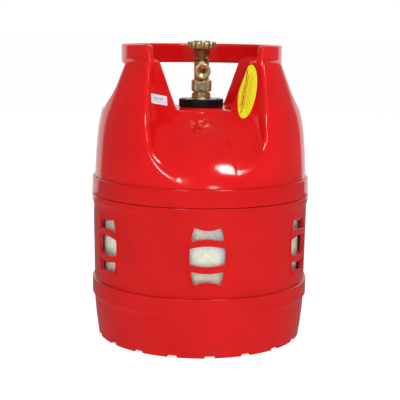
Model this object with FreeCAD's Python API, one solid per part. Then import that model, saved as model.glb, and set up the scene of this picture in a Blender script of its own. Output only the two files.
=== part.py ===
import FreeCAD, Part
import math
import os

# Gas cylinder of composite construction in a two-part moulded plastic casing,
# with a handwheel valve on top.  Millimetres.  The Z axis is the cylinder's axis,
# z = 0 is the plane that the foot stands on, and -Y is the front, where the
# carrying ring is open and the valve outlet points.

# ---------------------------------------------------------------- general
BOND_GAP = 0.1            # line between two pieces of one body that touch
FREE_GAP = 0.3            # least gap between pieces that move apart
RUNNING_GAP = 0.05        # radial clearance of a stem in its bore
BEYOND = 40.0             # how far a cutting tool runs past the surface it cuts
SAME_POINT = 1e-6         # points closer than this are one point

# ---------------------------------------------------------------- casing, both mouldings
CASING_WALL = 4.2
SEAM_Z = 200.7
SEAM_GAP = 0.5
FLANK_R = 148.0           # smooth wall just above and below the thick bands

# ---------------------------------------------------------------- lower casing
FOOT_R = 143.3
BELLY_R = 148.9
BELLY_Z = 51.0
FOOT_BOW = 0.5            # how far the foot's flare bows out half way up
BUMPER_R = 152.0
BUMPER_COVE_R = 149.9     # middle of the cove under the bumper rib
BUMPER_COVE_Z = 56.3
BUMPER_LOW_Z = 60.0
BUMPER_TOP_Z = 81.8
WAIST_R = 149.1
WAIST_TOP_R = 150.3
RIM_R = 152.4
RIM_LOW_Z = 187.0
RIM_FULL_Z = 193.8
EDGE_R = 0.9              # rounding of the bands' moulded edges

NOTCHES = 18
NOTCH_WIDTH = 14.5
NOTCH_TOP_WIDTH = 12.0
NOTCH_HEIGHT = 3.0

WINDOWS = 6
WINDOW_LOW_Z = 100.0
WINDOW_TOP_Z = 176.0
WINDOW_END_HALF = 17.25   # half width at the corners
WINDOW_MID_HALF = 23.0    # half width at mid height
WINDOW_SAG = 4.0          # how far the end edges bow in towards the middle
BAR_THICKNESS = 8.9
BAR_GAP = 27.2            # opening between the two bars, on the centre line
BAR_BOW = 4.2             # rise of each bar's middle above its ends
WINDOW_CORNER_R = 2.2
FRAME_WIDTH = 2.2         # raised pad round each window, with its bars
FRAME_PROUD = 0.7
FRAME_EDGE_R = 0.6

TONGUE_R = 148.1          # spigot of the lower moulding inside the upper one's band
TONGUE_HEIGHT = 9.0
TONGUE_RECESS = 10.0
FLOOR_Z = 17.6
NOTCH_FIRST = 2.0         # degrees from the front to the first notch
FLOOR_THICKNESS = 3.5
FLOOR_HUB_R = 34.0
RIBS = 12
RIB_THICKNESS = 3.0
RIB_INNER_R = 52.0
UNDER_RIB_DEPTH = 9.0
DRAIN_HOLES = 6
DRAIN_R = 8.0
DRAIN_CIRCLE_R = 74.0

# ---------------------------------------------------------------- upper casing
BAND_LOW_R = 152.5
BAND_TOP_R = 151.2
BAND_TOP_Z = 225.2
FLANK_SLOPE = -0.03       # growth of the radius per unit of height, at the band
FLANK_TURN_SLOPE = -0.11  # and where the flank starts to round over
FLANK_TURN_R = 143.7
FLANK_TURN_Z = 286.0
LEG_FOOT_R = 137.0
LEG_FOOT_Z = 319.0
LEG_TOP_R = 113.6
LEG_TOP_Z = 385.0

DOME_R = 148.0            # half width and height of the shoulder dome's ellipse
DOME_HEIGHT = 98.0
DOME_BASE_Z = 212.0
COLLAR_TOP_R = 37.5
COLLAR_FOOT_R = 46.0
COLLAR_TOP_Z = 320.0
COLLAR_BORE_R = 26.0

VALLEY_HALF = 77.0        # half width of the front and rear valleys at their mouth
VALLEY_Z = 295.0          # height of the centre of the valley's round lower end
VALLEY_ARCH_Z = 290.0     # and of the arch that ends its mouth
VALLEY_APEX = 25.0        # distance from the axis where the valley's sides would meet
VALLEY_SPREAD = 0.83      # half width gained per unit of depth away from the axis
VALLEY_LEAN = 15.1        # degrees that the valley's sides lean out going up
WELL_FOOT_R = 68.0        # open well round the valve
WELL_TOP_R = 88.0
HAND_HOLE_HALF = 44.7
HAND_HOLE_Z = 319.0
HAND_HOLE_CORNER_R = 31.0

RING_R = 111.0
RING_THICKNESS = 12.0
RING_LOW_Z = 378.0
RING_TOP_Z = 406.0
RING_LOW_OUTER_R = 8.0
RING_EDGE_R = 3.0

# ---------------------------------------------------------------- pressure vessel
SHELL_R = 141.5
SHELL_WALL = 4.8
SHELL_TOP_Z = 208.0
SHELL_TOP_HEIGHT = 91.0
SHELL_LOW_Z = 102.0
SHELL_LOW_HEIGHT = 80.0
SHELL_KNUCKLE_R = 58.0
LINER_WALL = 3.0

BOSS_R = 22.0
BOSS_TOP_Z = 330.8
BOSS_CROWN_Z = 332.4
BOSS_FLANGE_R = 44.0
BOSS_FLANGE_Z = 279.0
BOSS_BORE_R = 12.8
SEAL_GROOVE_R = 14.6
SEAL_R = 1.1

NECK_FLANGE_R = 31.0
NECK_FLANGE_LOW_Z = 320.3
NECK_FLANGE_TOP_Z = 330.9
NECK_FLANGE_EDGE_R = 0.8

# ---------------------------------------------------------------- valve
VALVE_SHANK_LOW_Z = 300.0
VALVE_COLLAR_R = 13.1
VALVE_COLLAR_Z = (332.6, 339.0)
VALVE_NECK_R = 11.0
BLOCK_Z = (341.6, 357.0)
BLOCK_HALF = 13.5
BLOCK_CORNER_R = 5.0
BODY_R = 10.25
BODY_TOP_Z = 382.5
INLET_R = 4.0
SEAT_Z = 362.0
SEAT_BORE_R = 3.2
SEAT_LIP_R = 4.4
SEAT_LIP_HEIGHT = 0.8
CHAMBER_R = 7.6
THREAD_Z = 374.5          # the bonnet screws into the body from here up
BONNET_THREAD_R = 8.4

OUTLET_Z = 369.6
OUTLET_R = 10.9
OUTLET_REACH = 25.0
OUTLET_ROOT_R = 9.6
OUTLET_ROOT_REACH = 12.5
OUTLET_BORE_R = 3.5
OUTLET_CONE_R = 7.8
OUTLET_CONE_DEPTH = 3.0

BONNET_LOW_R = 10.0
BONNET_TOP_R = 12.0
BONNET_TOP_Z = 398.6
BONNET_BORE_R = 4.3
BONNET_CHAMBER_R = 6.0
BONNET_CHAMBER_TOP_Z = 390.4
BONNET_SEAL_THICKNESS = 0.9

PIN_R = 1.1
PIN_X = 7.3
PIN_Z = 387.1
PIN_REACH = 8.6

GLAND_Z = 394.5
GLAND_SECTION_R = 1.2

# ---------------------------------------------------------------- stem and seat
UPPER_STEM_R = 4.25
UPPER_STEM_FLANGE_R = 5.9
UPPER_STEM_FLANGE_Z = (387.4, 390.0)
UPPER_STEM_LOW_Z = 380.6
TANG_HALF = 2.0
TANG_SOCKET_HALF = 2.35
TANG_SOCKET_FLOOR_Z = 377.2
LOWER_STEM_R = 5.5
LOWER_STEM_Z = (368.5, 384.0)
LOWER_STEM_NECK_R = 2.6
LOWER_STEM_HEAD_R = 3.8
LOWER_STEM_HEAD_Z = 366.2
LOWER_STEM_HEAD_THICKNESS = 1.0
SEAT_HOLDER_R = 7.0
SEAT_HOLDER_TOP_Z = 368.2
SEAT_DISC_LOW_Z = 363.1
SEAT_DISC_R = 5.6
SEAT_DISC_THICKNESS = 1.8

# ---------------------------------------------------------------- handwheel
WHEEL_R = 20.25
WHEEL_Z = (399.4, 409.6)
WHEEL_EDGE_R = 1.6
WHEEL_LOBES = 16
WHEEL_SCALLOP_R = 2.6
WHEEL_SCALLOP_CENTRE_R = 21.6
WHEEL_DISH_R = 15.0
WHEEL_DISH_DEPTH = 3.0
WHEEL_UNDER_DEPTH = 3.6
WHEEL_HUB_R = 7.4
WHEEL_HUB_TOP_Z = 407.4
WHEEL_BOSS_R = 11.2
WHEEL_BOSS_INNER_R = 8.2
WHEEL_BOSS_TOP_Z = 410.9
SQUARE_HALF = 2.9
SQUARE_CLEARANCE = 0.05
WASHER_R = 6.4
WASHER_THICKNESS = 0.8
NUT_FLATS_HALF = 4.6
NUT_TOP_Z = 411.0
NUT_SIDES = 6
STUD_R = 2.4

# ---------------------------------------------------------------- relief valve, along -Y
RELIEF_Z = 349.6
RELIEF_PORT_R = 1.5
RELIEF_SEAT_Y = 6.4
RELIEF_CHAMBER_R = 4.9
RELIEF_SHANK_Y = 9.6
RELIEF_PLUG_R = 6.0
RELIEF_PLUG_Y = 18.6
RELIEF_SPRING_BORE_R = 3.55
RELIEF_SPRING_END_Y = 15.8
RELIEF_SEAL_THICKNESS = 0.9
RELIEF_SEAL_R = 3.0
RELIEF_POPPET_R = 3.4
RELIEF_POPPET_THICKNESS = 1.7
RELIEF_STEM_R = 1.2
RELIEF_STEM_Y = 12.6
SPRING_R = 2.4
SPRING_WIRE_R = 0.35
SPRING_TURNS = 4.5
DUST_CAP_R = 3.5
DUST_CAP_THICKNESS = 1.6

# ---------------------------------------------------------------- labels
LABEL_THICKNESS = 0.25
OVAL_LABEL_LENGTH = 72.0
OVAL_LABEL_WIDTH = 34.5
OVAL_LABEL_Z = 345.2
OVAL_LABEL_DEPTH = 74.6   # distance in front of the axis
OVAL_LABEL_TILT = 0.0     # degrees, in the plane of the face
BAR_LABEL_LENGTH = 34.0
BAR_LABEL_WIDTH = 12.7
BAR_LABEL_Z = 334.7
BAR_LABEL_DEPTH = 84.0
BAR_LABEL_TILT = -9.5
BAR_LABEL_CORNER_R = 1.0
WINDING_LABEL_SIDE = 46.0
WINDING_LABEL_X = 28.0
WINDING_LABEL_Z = 159.0
WINDING_LABEL_TILT = 45.0

Z_AXIS = FreeCAD.Vector(0, 0, 1)
FRONT = FreeCAD.Vector(0, -1, 0)
ORIGIN = FreeCAD.Vector(0, 0, 0)


# ================================================================ shape helpers
def in_section(point):
    """A point (radius, height) of a section, in the XZ plane."""
    return FreeCAD.Vector(point[0], 0, point[1])


def outline(start, *steps):
    """Closed wire in the XZ plane: a step of one point is a line, of two an arc."""
    edges = []
    here = in_section(start)
    for step in steps + ((start,),):
        points = [in_section(point) for point in step]
        if here.distanceToPoint(points[-1]) < SAME_POINT:
            continue
        if len(points) == 1:
            edges.append(Part.LineSegment(here, points[0]).toShape())
        else:
            edges.append(Part.Arc(here, points[0], points[1]).toShape())
        here = points[-1]
    return Part.Wire(edges)


def turned(wire):
    """Solid of revolution about the Z axis."""
    return Part.Face(wire).revolve(ORIGIN, Z_AXIS, 360)


def section_solid(edges, *corners):
    """Solid of revolution of a section made of edges and straight runs of corners."""
    runs = []
    for run in corners:
        for start, end in zip(run, run[1:]):
            runs.append(Part.LineSegment(in_section(start), in_section(end)).toShape())
    return turned(Part.Wire(Part.__sortEdges__(edges + runs)))


def leaving_arc(start, slope, end):
    """Arc step that leaves start with the given slope dr/dz, going up to end."""
    heading = math.atan2(1.0, slope)
    chord = math.atan2(end[1] - start[1], end[0] - start[0])
    half = math.hypot(end[0] - start[0], end[1] - start[1]) / 2
    sagitta = half * math.tan((chord - heading) / 2)
    middle = ((start[0] + end[0]) / 2 + sagitta * math.sin(chord),
              (start[1] + end[1]) / 2 - sagitta * math.cos(chord))
    return middle, end


def rod(radius, low, top, x=0.0, y=0.0):
    """Upright cylinder between two heights."""
    return Part.makeCylinder(radius, top - low, FreeCAD.Vector(x, y, low), Z_AXIS)


def forward_rod(radius, near, far, height, x=0.0):
    """Cylinder along -Y between two distances from the axis."""
    return Part.makeCylinder(radius, far - near, FreeCAD.Vector(x, -near, height), FRONT)


def square_rod(half, low, top):
    """Upright square bar on the axis."""
    corner = FreeCAD.Vector(-half, -half, low)
    return Part.makeBox(2 * half, 2 * half, top - low, corner)


def ellipse_arc(half_width, height, base_z, from_r, to_r):
    """Edge of a dome's elliptical section between two radii; height < 0 hangs down."""
    centre = FreeCAD.Vector(0, 0, base_z)
    side = FreeCAD.Vector(half_width, 0, base_z)
    peak = FreeCAD.Vector(0, 0, base_z + height)
    start = math.acos(from_r / half_width)
    end = math.acos(to_r / half_width)
    return Part.ArcOfEllipse(Part.Ellipse(side, peak, centre), start, end).toShape()


def ellipse_z(half_width, height, base_z, radius):
    """Height of a dome's elliptical section at a radius."""
    return base_z + height * math.sqrt(1 - (radius / half_width) ** 2)


def around(shape, count, first=0.0):
    """Copies of a shape at equal turns about the Z axis, starting at an angle."""
    copies = []
    for index in range(count):
        copy = shape.copy()
        copy.rotate(ORIGIN, Z_AXIS, first + index * 360.0 / count)
        copies.append(copy)
    return copies


def mirrored_to_rear(shape):
    """The same shape at the rear."""
    return shape.mirror(ORIGIN, FreeCAD.Vector(0, 1, 0))


# ================================================================ upper casing
def shoulder_envelope(inset):
    """Everything inside the flank and the legs' outer cone, set in by a wall."""
    low = SEAM_Z - BEYOND
    start = (FLANK_R - inset, BAND_TOP_Z)
    turn = (FLANK_TURN_R - inset, FLANK_TURN_Z)
    foot = (LEG_FOOT_R - inset, LEG_FOOT_Z)
    top = (LEG_TOP_R - inset, LEG_TOP_Z - inset)
    first = leaving_arc(start, FLANK_SLOPE, turn)
    second = leaving_arc(turn, FLANK_TURN_SLOPE, foot)
    return turned(outline((0, low), ((FLANK_R - inset, low),), (start,), first, second,
                          (top,), ((0, top[1]),)))


def valley_section(depth, apex):
    """Section of the valley's funnel at a distance from the axis."""
    radius = VALLEY_SPREAD * (depth - apex)
    lean = math.radians(VALLEY_LEAN)
    side = (radius * math.cos(lean), VALLEY_Z - radius * math.sin(lean))
    top_z = RING_TOP_Z + BEYOND
    top_half = side[0] + (top_z - side[1]) * math.tan(lean)
    wire = outline((-side[0], side[1]), ((0, VALLEY_Z - radius), side),
                   ((top_half, top_z),), ((-top_half, top_z),))
    wire.translate(FreeCAD.Vector(0, -depth, 0))
    return wire


def front_valley(growth):
    """Tool for the front valley: a spreading funnel inside an arch-ended slot."""
    apex = VALLEY_APEX - growth * math.hypot(1, 1 / VALLEY_SPREAD)
    funnel = Part.makeLoft([valley_section(apex + 1, apex),
                            valley_section(FLANK_R + BEYOND, apex)], True, True)
    half = VALLEY_HALF + growth
    top_z = RING_TOP_Z + BEYOND
    arch = outline((-half, VALLEY_ARCH_Z), ((0, VALLEY_ARCH_Z - half), (half, VALLEY_ARCH_Z)),
                   ((half, top_z),), ((-half, top_z),))
    slot = Part.Face(arch).extrude(FRONT * (FLANK_R + BEYOND))
    return funnel.common(slot)


def hand_holes(growth):
    """Tool for both side hand-holes: a round-cornered slot along X."""
    half = HAND_HOLE_HALF + growth
    low = HAND_HOLE_Z - growth
    corner = HAND_HOLE_CORNER_R + growth
    block = Part.makeBox(2 * FLANK_R, 2 * half, 2 * BEYOND + corner,
                         FreeCAD.Vector(-FLANK_R, -half, low))
    lower = [edge for edge in block.Edges
             if edge.BoundBox.XLength > FLANK_R and edge.BoundBox.ZMax < low + 1]
    return block.makeFillet(corner, lower)


def valve_well(growth):
    """Tool for the open well round the valve, inside the four legs."""
    return Part.makeCone(WELL_FOOT_R + growth, WELL_TOP_R + growth,
                         LEG_TOP_Z - HAND_HOLE_Z + growth,
                         FreeCAD.Vector(0, 0, HAND_HOLE_Z - growth), Z_AXIS)


def shoulder_dome(inset):
    """Dome and collar that show in the valleys, set in by a wall."""
    half_width = DOME_R - inset
    height = DOME_HEIGHT - inset
    low = SEAM_Z - BEYOND
    foot_r = COLLAR_FOOT_R - inset
    foot_z = ellipse_z(half_width, height, DOME_BASE_Z, foot_r)
    arc = ellipse_arc(half_width, height, DOME_BASE_Z, half_width, foot_r)
    return section_solid([arc], (
        (foot_r, foot_z), (COLLAR_TOP_R - inset, COLLAR_TOP_Z - inset),
        (0, COLLAR_TOP_Z - inset), (0, low), (half_width, low), (half_width, DOME_BASE_Z)))


def shoulder_block(inset):
    """Filled shoulder with its side saddles and four legs, set in by a wall."""
    valley = front_valley(inset)
    block = shoulder_envelope(inset)
    for tool in (valley, mirrored_to_rear(valley), hand_holes(inset), valve_well(inset)):
        block = block.cut(tool)
    return block.fuse(shoulder_dome(inset)).removeSplitter()


def carrying_ring():
    """Ring handle on the leg tops, open at the front."""
    inner = RING_R - RING_THICKNESS
    chord = 1 - math.sqrt(0.5)
    big = RING_LOW_OUTER_R
    small = RING_EDGE_R
    ring = turned(outline(
        (inner + small, RING_LOW_Z),
        ((RING_R - big, RING_LOW_Z),),
        ((RING_R - big * chord, RING_LOW_Z + big * chord), (RING_R, RING_LOW_Z + big)),
        ((RING_R, RING_TOP_Z - small),),
        ((RING_R - small * chord, RING_TOP_Z - small * chord), (RING_R - small, RING_TOP_Z)),
        ((inner + small, RING_TOP_Z),),
        ((inner + small * chord, RING_TOP_Z - small * chord), (inner, RING_TOP_Z - small)),
        ((inner, RING_LOW_Z + small),),
        ((inner + small * chord, RING_LOW_Z + small * chord), (inner + small, RING_LOW_Z))))
    return ring.cut(front_valley(0))


def skirt_band():
    """Thick band round the bottom of the upper casing."""
    low = SEAM_Z + SEAM_GAP
    edge = EDGE_R
    chord = 1 - math.sqrt(0.5)
    return turned(outline(
        (FLANK_R - CASING_WALL, low), ((BAND_LOW_R - edge, low),),
        ((BAND_LOW_R - edge * chord, low + edge * chord), (BAND_LOW_R, low + edge)),
        ((BAND_TOP_R, BAND_TOP_Z - edge),),
        ((BAND_TOP_R - edge * chord, BAND_TOP_Z - edge * chord), (BAND_TOP_R - edge, BAND_TOP_Z)),
        ((FLANK_R - CASING_WALL, BAND_TOP_Z),)))


def upper_casing():
    """Upper moulding: band, flank, dome, collar, four legs and carrying ring."""
    shell = shoulder_block(0).fuse(carrying_ring()).fuse(skirt_band())
    shell = shell.cut(shoulder_block(CASING_WALL))
    shell = shell.cut(rod(COLLAR_BORE_R, SEAM_Z, COLLAR_TOP_Z + 1))
    shell = shell.cut(rod(FLANK_R + BEYOND, SEAM_Z - 2 * BEYOND, SEAM_Z + SEAM_GAP))
    recess = rod(TONGUE_R + FREE_GAP, SEAM_Z, SEAM_Z + SEAM_GAP + TONGUE_RECESS)
    return shell.cut(recess).removeSplitter()


# ================================================================ lower casing
def lower_wall():
    """Wall of the lower moulding with its bumper rib, rim and tongue."""
    edge = EDGE_R
    chord = edge * (1 - math.sqrt(0.5))
    outer = turned(outline(
        (0, 0), ((FOOT_R, 0),),
        (((FOOT_R + BELLY_R) / 2 + FOOT_BOW, BELLY_Z / 2), (BELLY_R, BELLY_Z)),
        ((BUMPER_COVE_R, BUMPER_COVE_Z), (BUMPER_R, BUMPER_LOW_Z)),
        ((BUMPER_R, BUMPER_TOP_Z - edge),),
        ((BUMPER_R - chord, BUMPER_TOP_Z - chord), (BUMPER_R - edge, BUMPER_TOP_Z)),
        ((WAIST_R, BUMPER_TOP_Z),), ((WAIST_TOP_R, RIM_LOW_Z),), ((RIM_R, RIM_FULL_Z),),
        ((RIM_R, SEAM_Z - edge),),
        ((RIM_R - chord, SEAM_Z - chord), (RIM_R - edge, SEAM_Z)),
        ((TONGUE_R, SEAM_Z),), ((TONGUE_R, SEAM_Z + TONGUE_HEIGHT),),
        ((0, SEAM_Z + TONGUE_HEIGHT),)))
    top = SEAM_Z + BEYOND
    inner = turned(outline(
        (0, -1), ((FOOT_R - CASING_WALL, -1),), ((BELLY_R - CASING_WALL, BELLY_Z),),
        ((WAIST_TOP_R - CASING_WALL, SEAM_Z),), ((WAIST_TOP_R - CASING_WALL, top),), ((0, top),)))
    return outer.cut(inner)


def casing_floor():
    """Floor with cradle ribs above it, stiffening ribs below it and drain holes."""
    floor = rod(FOOT_R - CASING_WALL / 2, FLOOR_Z, FLOOR_Z + FLOOR_THICKNESS)
    reach = BELLY_R - CASING_WALL / 2 - RIB_INNER_R
    rib = Part.makeBox(reach, RIB_THICKNESS, BELLY_Z - FLOOR_Z + UNDER_RIB_DEPTH,
                       FreeCAD.Vector(RIB_INNER_R, -RIB_THICKNESS / 2, FLOOR_Z - UNDER_RIB_DEPTH))
    inside = Part.makeCone(FOOT_R - CASING_WALL / 2, BELLY_R - CASING_WALL / 2, BELLY_Z)
    hub = rod(FLOOR_HUB_R + RIB_THICKNESS, FLOOR_Z - UNDER_RIB_DEPTH, FLOOR_Z)
    floor = floor.fuse(around(rib, RIBS)).common(inside).fuse(hub)
    floor = floor.cut(vessel_solid(BOND_GAP + FREE_GAP))
    drain = rod(DRAIN_R, 0, BELLY_Z, DRAIN_CIRCLE_R)
    drains = around(drain, DRAIN_HOLES, 180.0 / RIBS)
    return floor.cut(drains).cut(rod(FLOOR_HUB_R, 0, BELLY_Z))


def window_edge(half_end, half_mid, low, top, bow_low, bow_top):
    """Face with curved ends and sides, in the XZ plane, for cutting a window."""
    middle = (WINDOW_LOW_Z + WINDOW_TOP_Z) / 2
    wire = outline(
        (-half_end, low), ((0, low + bow_low), (half_end, low)),
        ((half_mid, middle), (half_end, top)),
        ((0, top + bow_top), (-half_end, top)), ((-half_mid, middle), (-half_end, low)))
    return Part.Face(wire)


def window_outline(growth):
    """The front window's whole outline as a solid along -Y, grown all round."""
    return window_edge(WINDOW_END_HALF + growth, WINDOW_MID_HALF + growth,
                       WINDOW_LOW_Z - growth, WINDOW_TOP_Z + growth,
                       WINDOW_SAG, -WINDOW_SAG).extrude(FRONT * (RIM_R + BEYOND))


def window_bar():
    """The bar above the front window's middle, bowed upwards, as a solid along -Y."""
    middle = (WINDOW_LOW_Z + WINDOW_TOP_Z) / 2
    low = middle + BAR_GAP / 2
    top = low + BAR_THICKNESS
    half = WINDOW_MID_HALF + BEYOND
    drop = BAR_BOW * (half / WINDOW_MID_HALF) ** 2
    face = Part.Face(outline((-half, low - drop), ((0, low), (half, low - drop)),
                             ((half, top - drop),), ((0, top), (-half, top - drop))))
    return face.extrude(FRONT * (RIM_R + BEYOND))


def window_openings():
    """The three openings of the front window as solids along -Y."""
    middle = (WINDOW_LOW_Z + WINDOW_TOP_Z) / 2
    bar = window_bar()
    other_bar = bar.mirror(FreeCAD.Vector(0, 0, middle), Z_AXIS)
    openings = window_outline(0).cut(bar).cut(other_bar)
    corners = [edge for edge in openings.Edges if edge.BoundBox.YLength > BEYOND
               and edge.BoundBox.XLength < BOND_GAP]
    return openings.makeFillet(WINDOW_CORNER_R, corners)


def at_radius(edge, radius):
    """Whether an edge runs at that distance from the Z axis."""
    middle = (edge.FirstParameter + edge.LastParameter) / 2
    points = [edge.valueAt(item) for item in (edge.FirstParameter, middle, edge.LastParameter)]
    return all(abs(math.hypot(point.x, point.y) - radius) < BOND_GAP / 2 for point in points)


def window_frame():
    """Raised pad round the front window and on its bars, with softened edges."""
    radius = WAIST_TOP_R + FRAME_PROUD
    low = WINDOW_LOW_Z - 2 * FRAME_WIDTH
    top = WINDOW_TOP_Z + 2 * FRAME_WIDTH
    pad = rod(radius, low, top).cut(rod(radius - CASING_WALL, low, top))
    pad = pad.common(window_outline(FRAME_WIDTH)).cut(window_openings())
    return pad.makeFillet(FRAME_EDGE_R, [edge for edge in pad.Edges if at_radius(edge, radius)])


def notch():
    """Tool for one slanted-sided notch in the foot, at the front."""
    face = Part.Face(outline(
        (-NOTCH_WIDTH / 2, -1), ((NOTCH_WIDTH / 2, -1),), ((NOTCH_TOP_WIDTH / 2, NOTCH_HEIGHT),),
        ((-NOTCH_TOP_WIDTH / 2, NOTCH_HEIGHT),)))
    return face.extrude(FRONT * (FOOT_R + BEYOND))


def lower_casing():
    """Lower moulding: foot, bumper rib, six windows, rim, tongue and floor."""
    casing = lower_wall().fuse(casing_floor())
    casing = casing.cut(around(window_openings(), WINDOWS))
    casing = casing.cut(around(notch(), NOTCHES, NOTCH_FIRST))
    return casing.fuse(around(window_frame(), WINDOWS)).removeSplitter()


# ================================================================ pressure vessel
def crown_radius(height):
    """Crown radius of the wound shell's head of that height, tangent to its knuckle."""
    flat = SHELL_R - SHELL_KNUCKLE_R
    return ((height ** 2 - SHELL_KNUCKLE_R ** 2 + flat ** 2)
            / (2 * (height - SHELL_KNUCKLE_R)))


def head_points(outset, base_z, height, start_r, up):
    """Section of a crown-and-knuckle head, from a radius near the axis to the side.

    The points are the start, the crown arc's middle and end, and the knuckle arc's
    middle and end.  up is 1 for the upper head and -1 for the lower one.
    """
    knuckle = SHELL_KNUCKLE_R + outset
    crown = crown_radius(height) + outset
    centre_r = SHELL_R - SHELL_KNUCKLE_R
    centre_z = height - crown_radius(height)
    first = math.asin(start_r / crown)
    last = math.asin(centre_r / (crown - knuckle))
    points = []
    for angle in (first, (first + last) / 2, last):
        points.append((crown * math.sin(angle), centre_z + crown * math.cos(angle)))
    for angle in ((last + math.pi / 2) / 2, math.pi / 2):
        points.append((centre_r + knuckle * math.sin(angle), knuckle * math.cos(angle)))
    return [(point[0], base_z + up * point[1]) for point in points]


def vessel_section(outset, neck_r):
    """Steps of the wound shell's section, from the bottom pole up to the neck."""
    low = head_points(outset, SHELL_LOW_Z, SHELL_LOW_HEIGHT, 0, -1)
    top = head_points(outset, SHELL_TOP_Z, SHELL_TOP_HEIGHT, neck_r, 1)
    steps = [(low[1], low[2]), (low[3], low[4]), (top[4],), (top[3], top[2]), (top[1], top[0])]
    return low[0], steps


def reversed_steps(start, steps):
    """The same run of steps walked backwards, as a start and its steps."""
    ends = [start] + [step[-1] for step in steps]
    backwards = []
    for index in range(len(steps) - 1, -1, -1):
        backwards.append(steps[index][:-1] + (ends[index],))
    return ends[-1], backwards


def vessel_solid(outset):
    """Filled outer shape of the wound shell, grown by an outset (negative: shrunk)."""
    pit, steps = vessel_section(outset, 0)
    return turned(outline(pit, *steps))


def vessel_wall(outset, wall):
    """Wall of the vessel, open at the neck, from its outer face inwards."""
    neck_r = BOSS_R + BOND_GAP
    pit, outer = vessel_section(outset, neck_r)
    lip, inner = reversed_steps(*vessel_section(outset - wall, neck_r))
    return turned(outline(pit, *outer, (lip,), *inner))


def composite_shell():
    """Glass fibre winding, open at the neck."""
    return vessel_wall(0, SHELL_WALL)


def inner_liner():
    """Blow-moulded liner inside the winding."""
    return vessel_wall(-SHELL_WALL - BOND_GAP, LINER_WALL)


def neck_boss():
    """Metal boss: a flange under the liner and a bored neck with a crowned top."""
    neck = turned(outline(
        (0, BOSS_FLANGE_Z), ((BOSS_R, BOSS_FLANGE_Z),), ((BOSS_R, BOSS_TOP_Z),),
        ((SEAL_GROOVE_R + SEAL_R, BOSS_CROWN_Z),), ((0, BOSS_CROWN_Z),)))
    flange = rod(BOSS_FLANGE_R, BOSS_FLANGE_Z, BOSS_TOP_Z)
    flange = flange.common(vessel_solid(-SHELL_WALL - LINER_WALL - 2 * BOND_GAP))
    groove = ring_groove(SEAL_GROOVE_R, SEAL_R, BOSS_CROWN_Z - 2 * SEAL_R, BOSS_CROWN_Z)
    bore = rod(BOSS_BORE_R, BOSS_FLANGE_Z - 1, BOSS_CROWN_Z + 1)
    return neck.fuse(flange).cut(bore).cut(groove).removeSplitter()


def ring_groove(middle_r, half_width, low, top):
    """Tool for a square groove round the axis."""
    return rod(middle_r + half_width, low, top).cut(rod(middle_r - half_width, low, top))


def boss_o_ring():
    """Sealing ring between the boss and the valve's collar."""
    centre = FreeCAD.Vector(0, 0, BOSS_CROWN_Z - SEAL_R)
    return Part.makeTorus(SEAL_GROOVE_R, SEAL_R - BOND_GAP, centre, Z_AXIS)


def neck_flange():
    """Black plastic nut that holds the casing's collar down on the boss."""
    edge = NECK_FLANGE_EDGE_R
    flange = rod(NECK_FLANGE_R, NECK_FLANGE_LOW_Z, NECK_FLANGE_TOP_Z)
    flange = flange.makeFillet(edge, [item for item in flange.Edges if item.Closed])
    return flange.cut(rod(BOSS_R + BOND_GAP, COLLAR_TOP_Z, BOSS_CROWN_Z))


# ================================================================ valve
def valve_body():
    """Valve forging: shank, collar, block, upright body and outlet, with its bores."""
    collar_low, collar_top = VALVE_COLLAR_Z
    block_low, block_top = BLOCK_Z
    shank = rod(BOSS_BORE_R - BOND_GAP, VALVE_SHANK_LOW_Z, collar_low)
    collar = rod(VALVE_COLLAR_R, collar_low, collar_top)
    collar = collar.makeFillet(EDGE_R, [item for item in collar.Edges if item.Closed])
    neck = rod(VALVE_NECK_R, collar_low, block_low + 1)
    block = square_rod(BLOCK_HALF, block_low, block_top)
    upright = [edge for edge in block.Edges if edge.BoundBox.ZLength > 1]
    block = block.makeFillet(BLOCK_CORNER_R, upright)
    rims = [edge for edge in block.Edges if edge.BoundBox.ZLength < BOND_GAP]
    block = block.makeFillet(EDGE_R, rims)
    body = rod(BODY_R, block_low, BODY_TOP_Z)
    root = forward_rod(OUTLET_ROOT_R, 0, OUTLET_REACH - 1, OUTLET_Z)
    outlet = forward_rod(OUTLET_R, OUTLET_ROOT_REACH, OUTLET_REACH, OUTLET_Z)
    forging = shank.fuse([collar, neck, block, body, root, outlet])
    seat_top = SEAT_Z + SEAT_LIP_HEIGHT
    chamber = rod(CHAMBER_R, SEAT_Z, THREAD_Z).cut(rod(SEAT_LIP_R, SEAT_Z, seat_top))
    cone = Part.makeCone(OUTLET_BORE_R, OUTLET_CONE_R, OUTLET_CONE_DEPTH,
                         FreeCAD.Vector(0, OUTLET_CONE_DEPTH - OUTLET_REACH, OUTLET_Z), FRONT)
    bores = [rod(INLET_R, VALVE_SHANK_LOW_Z - 1, BLOCK_Z[1]),
             rod(SEAT_BORE_R, BLOCK_Z[1] - 1, seat_top),
             chamber,
             rod(BONNET_THREAD_R, THREAD_Z, BODY_TOP_Z + 1),
             forward_rod(OUTLET_BORE_R, CHAMBER_R - 1, OUTLET_REACH + 1, OUTLET_Z),
             cone,
             forward_rod(RELIEF_PORT_R, 0, RELIEF_SEAT_Y + 1, RELIEF_Z),
             forward_rod(RELIEF_CHAMBER_R, RELIEF_SEAT_Y, BLOCK_HALF + 1, RELIEF_Z)]
    for bore in bores:
        forging = forging.cut(bore)
    return forging.removeSplitter()


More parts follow.
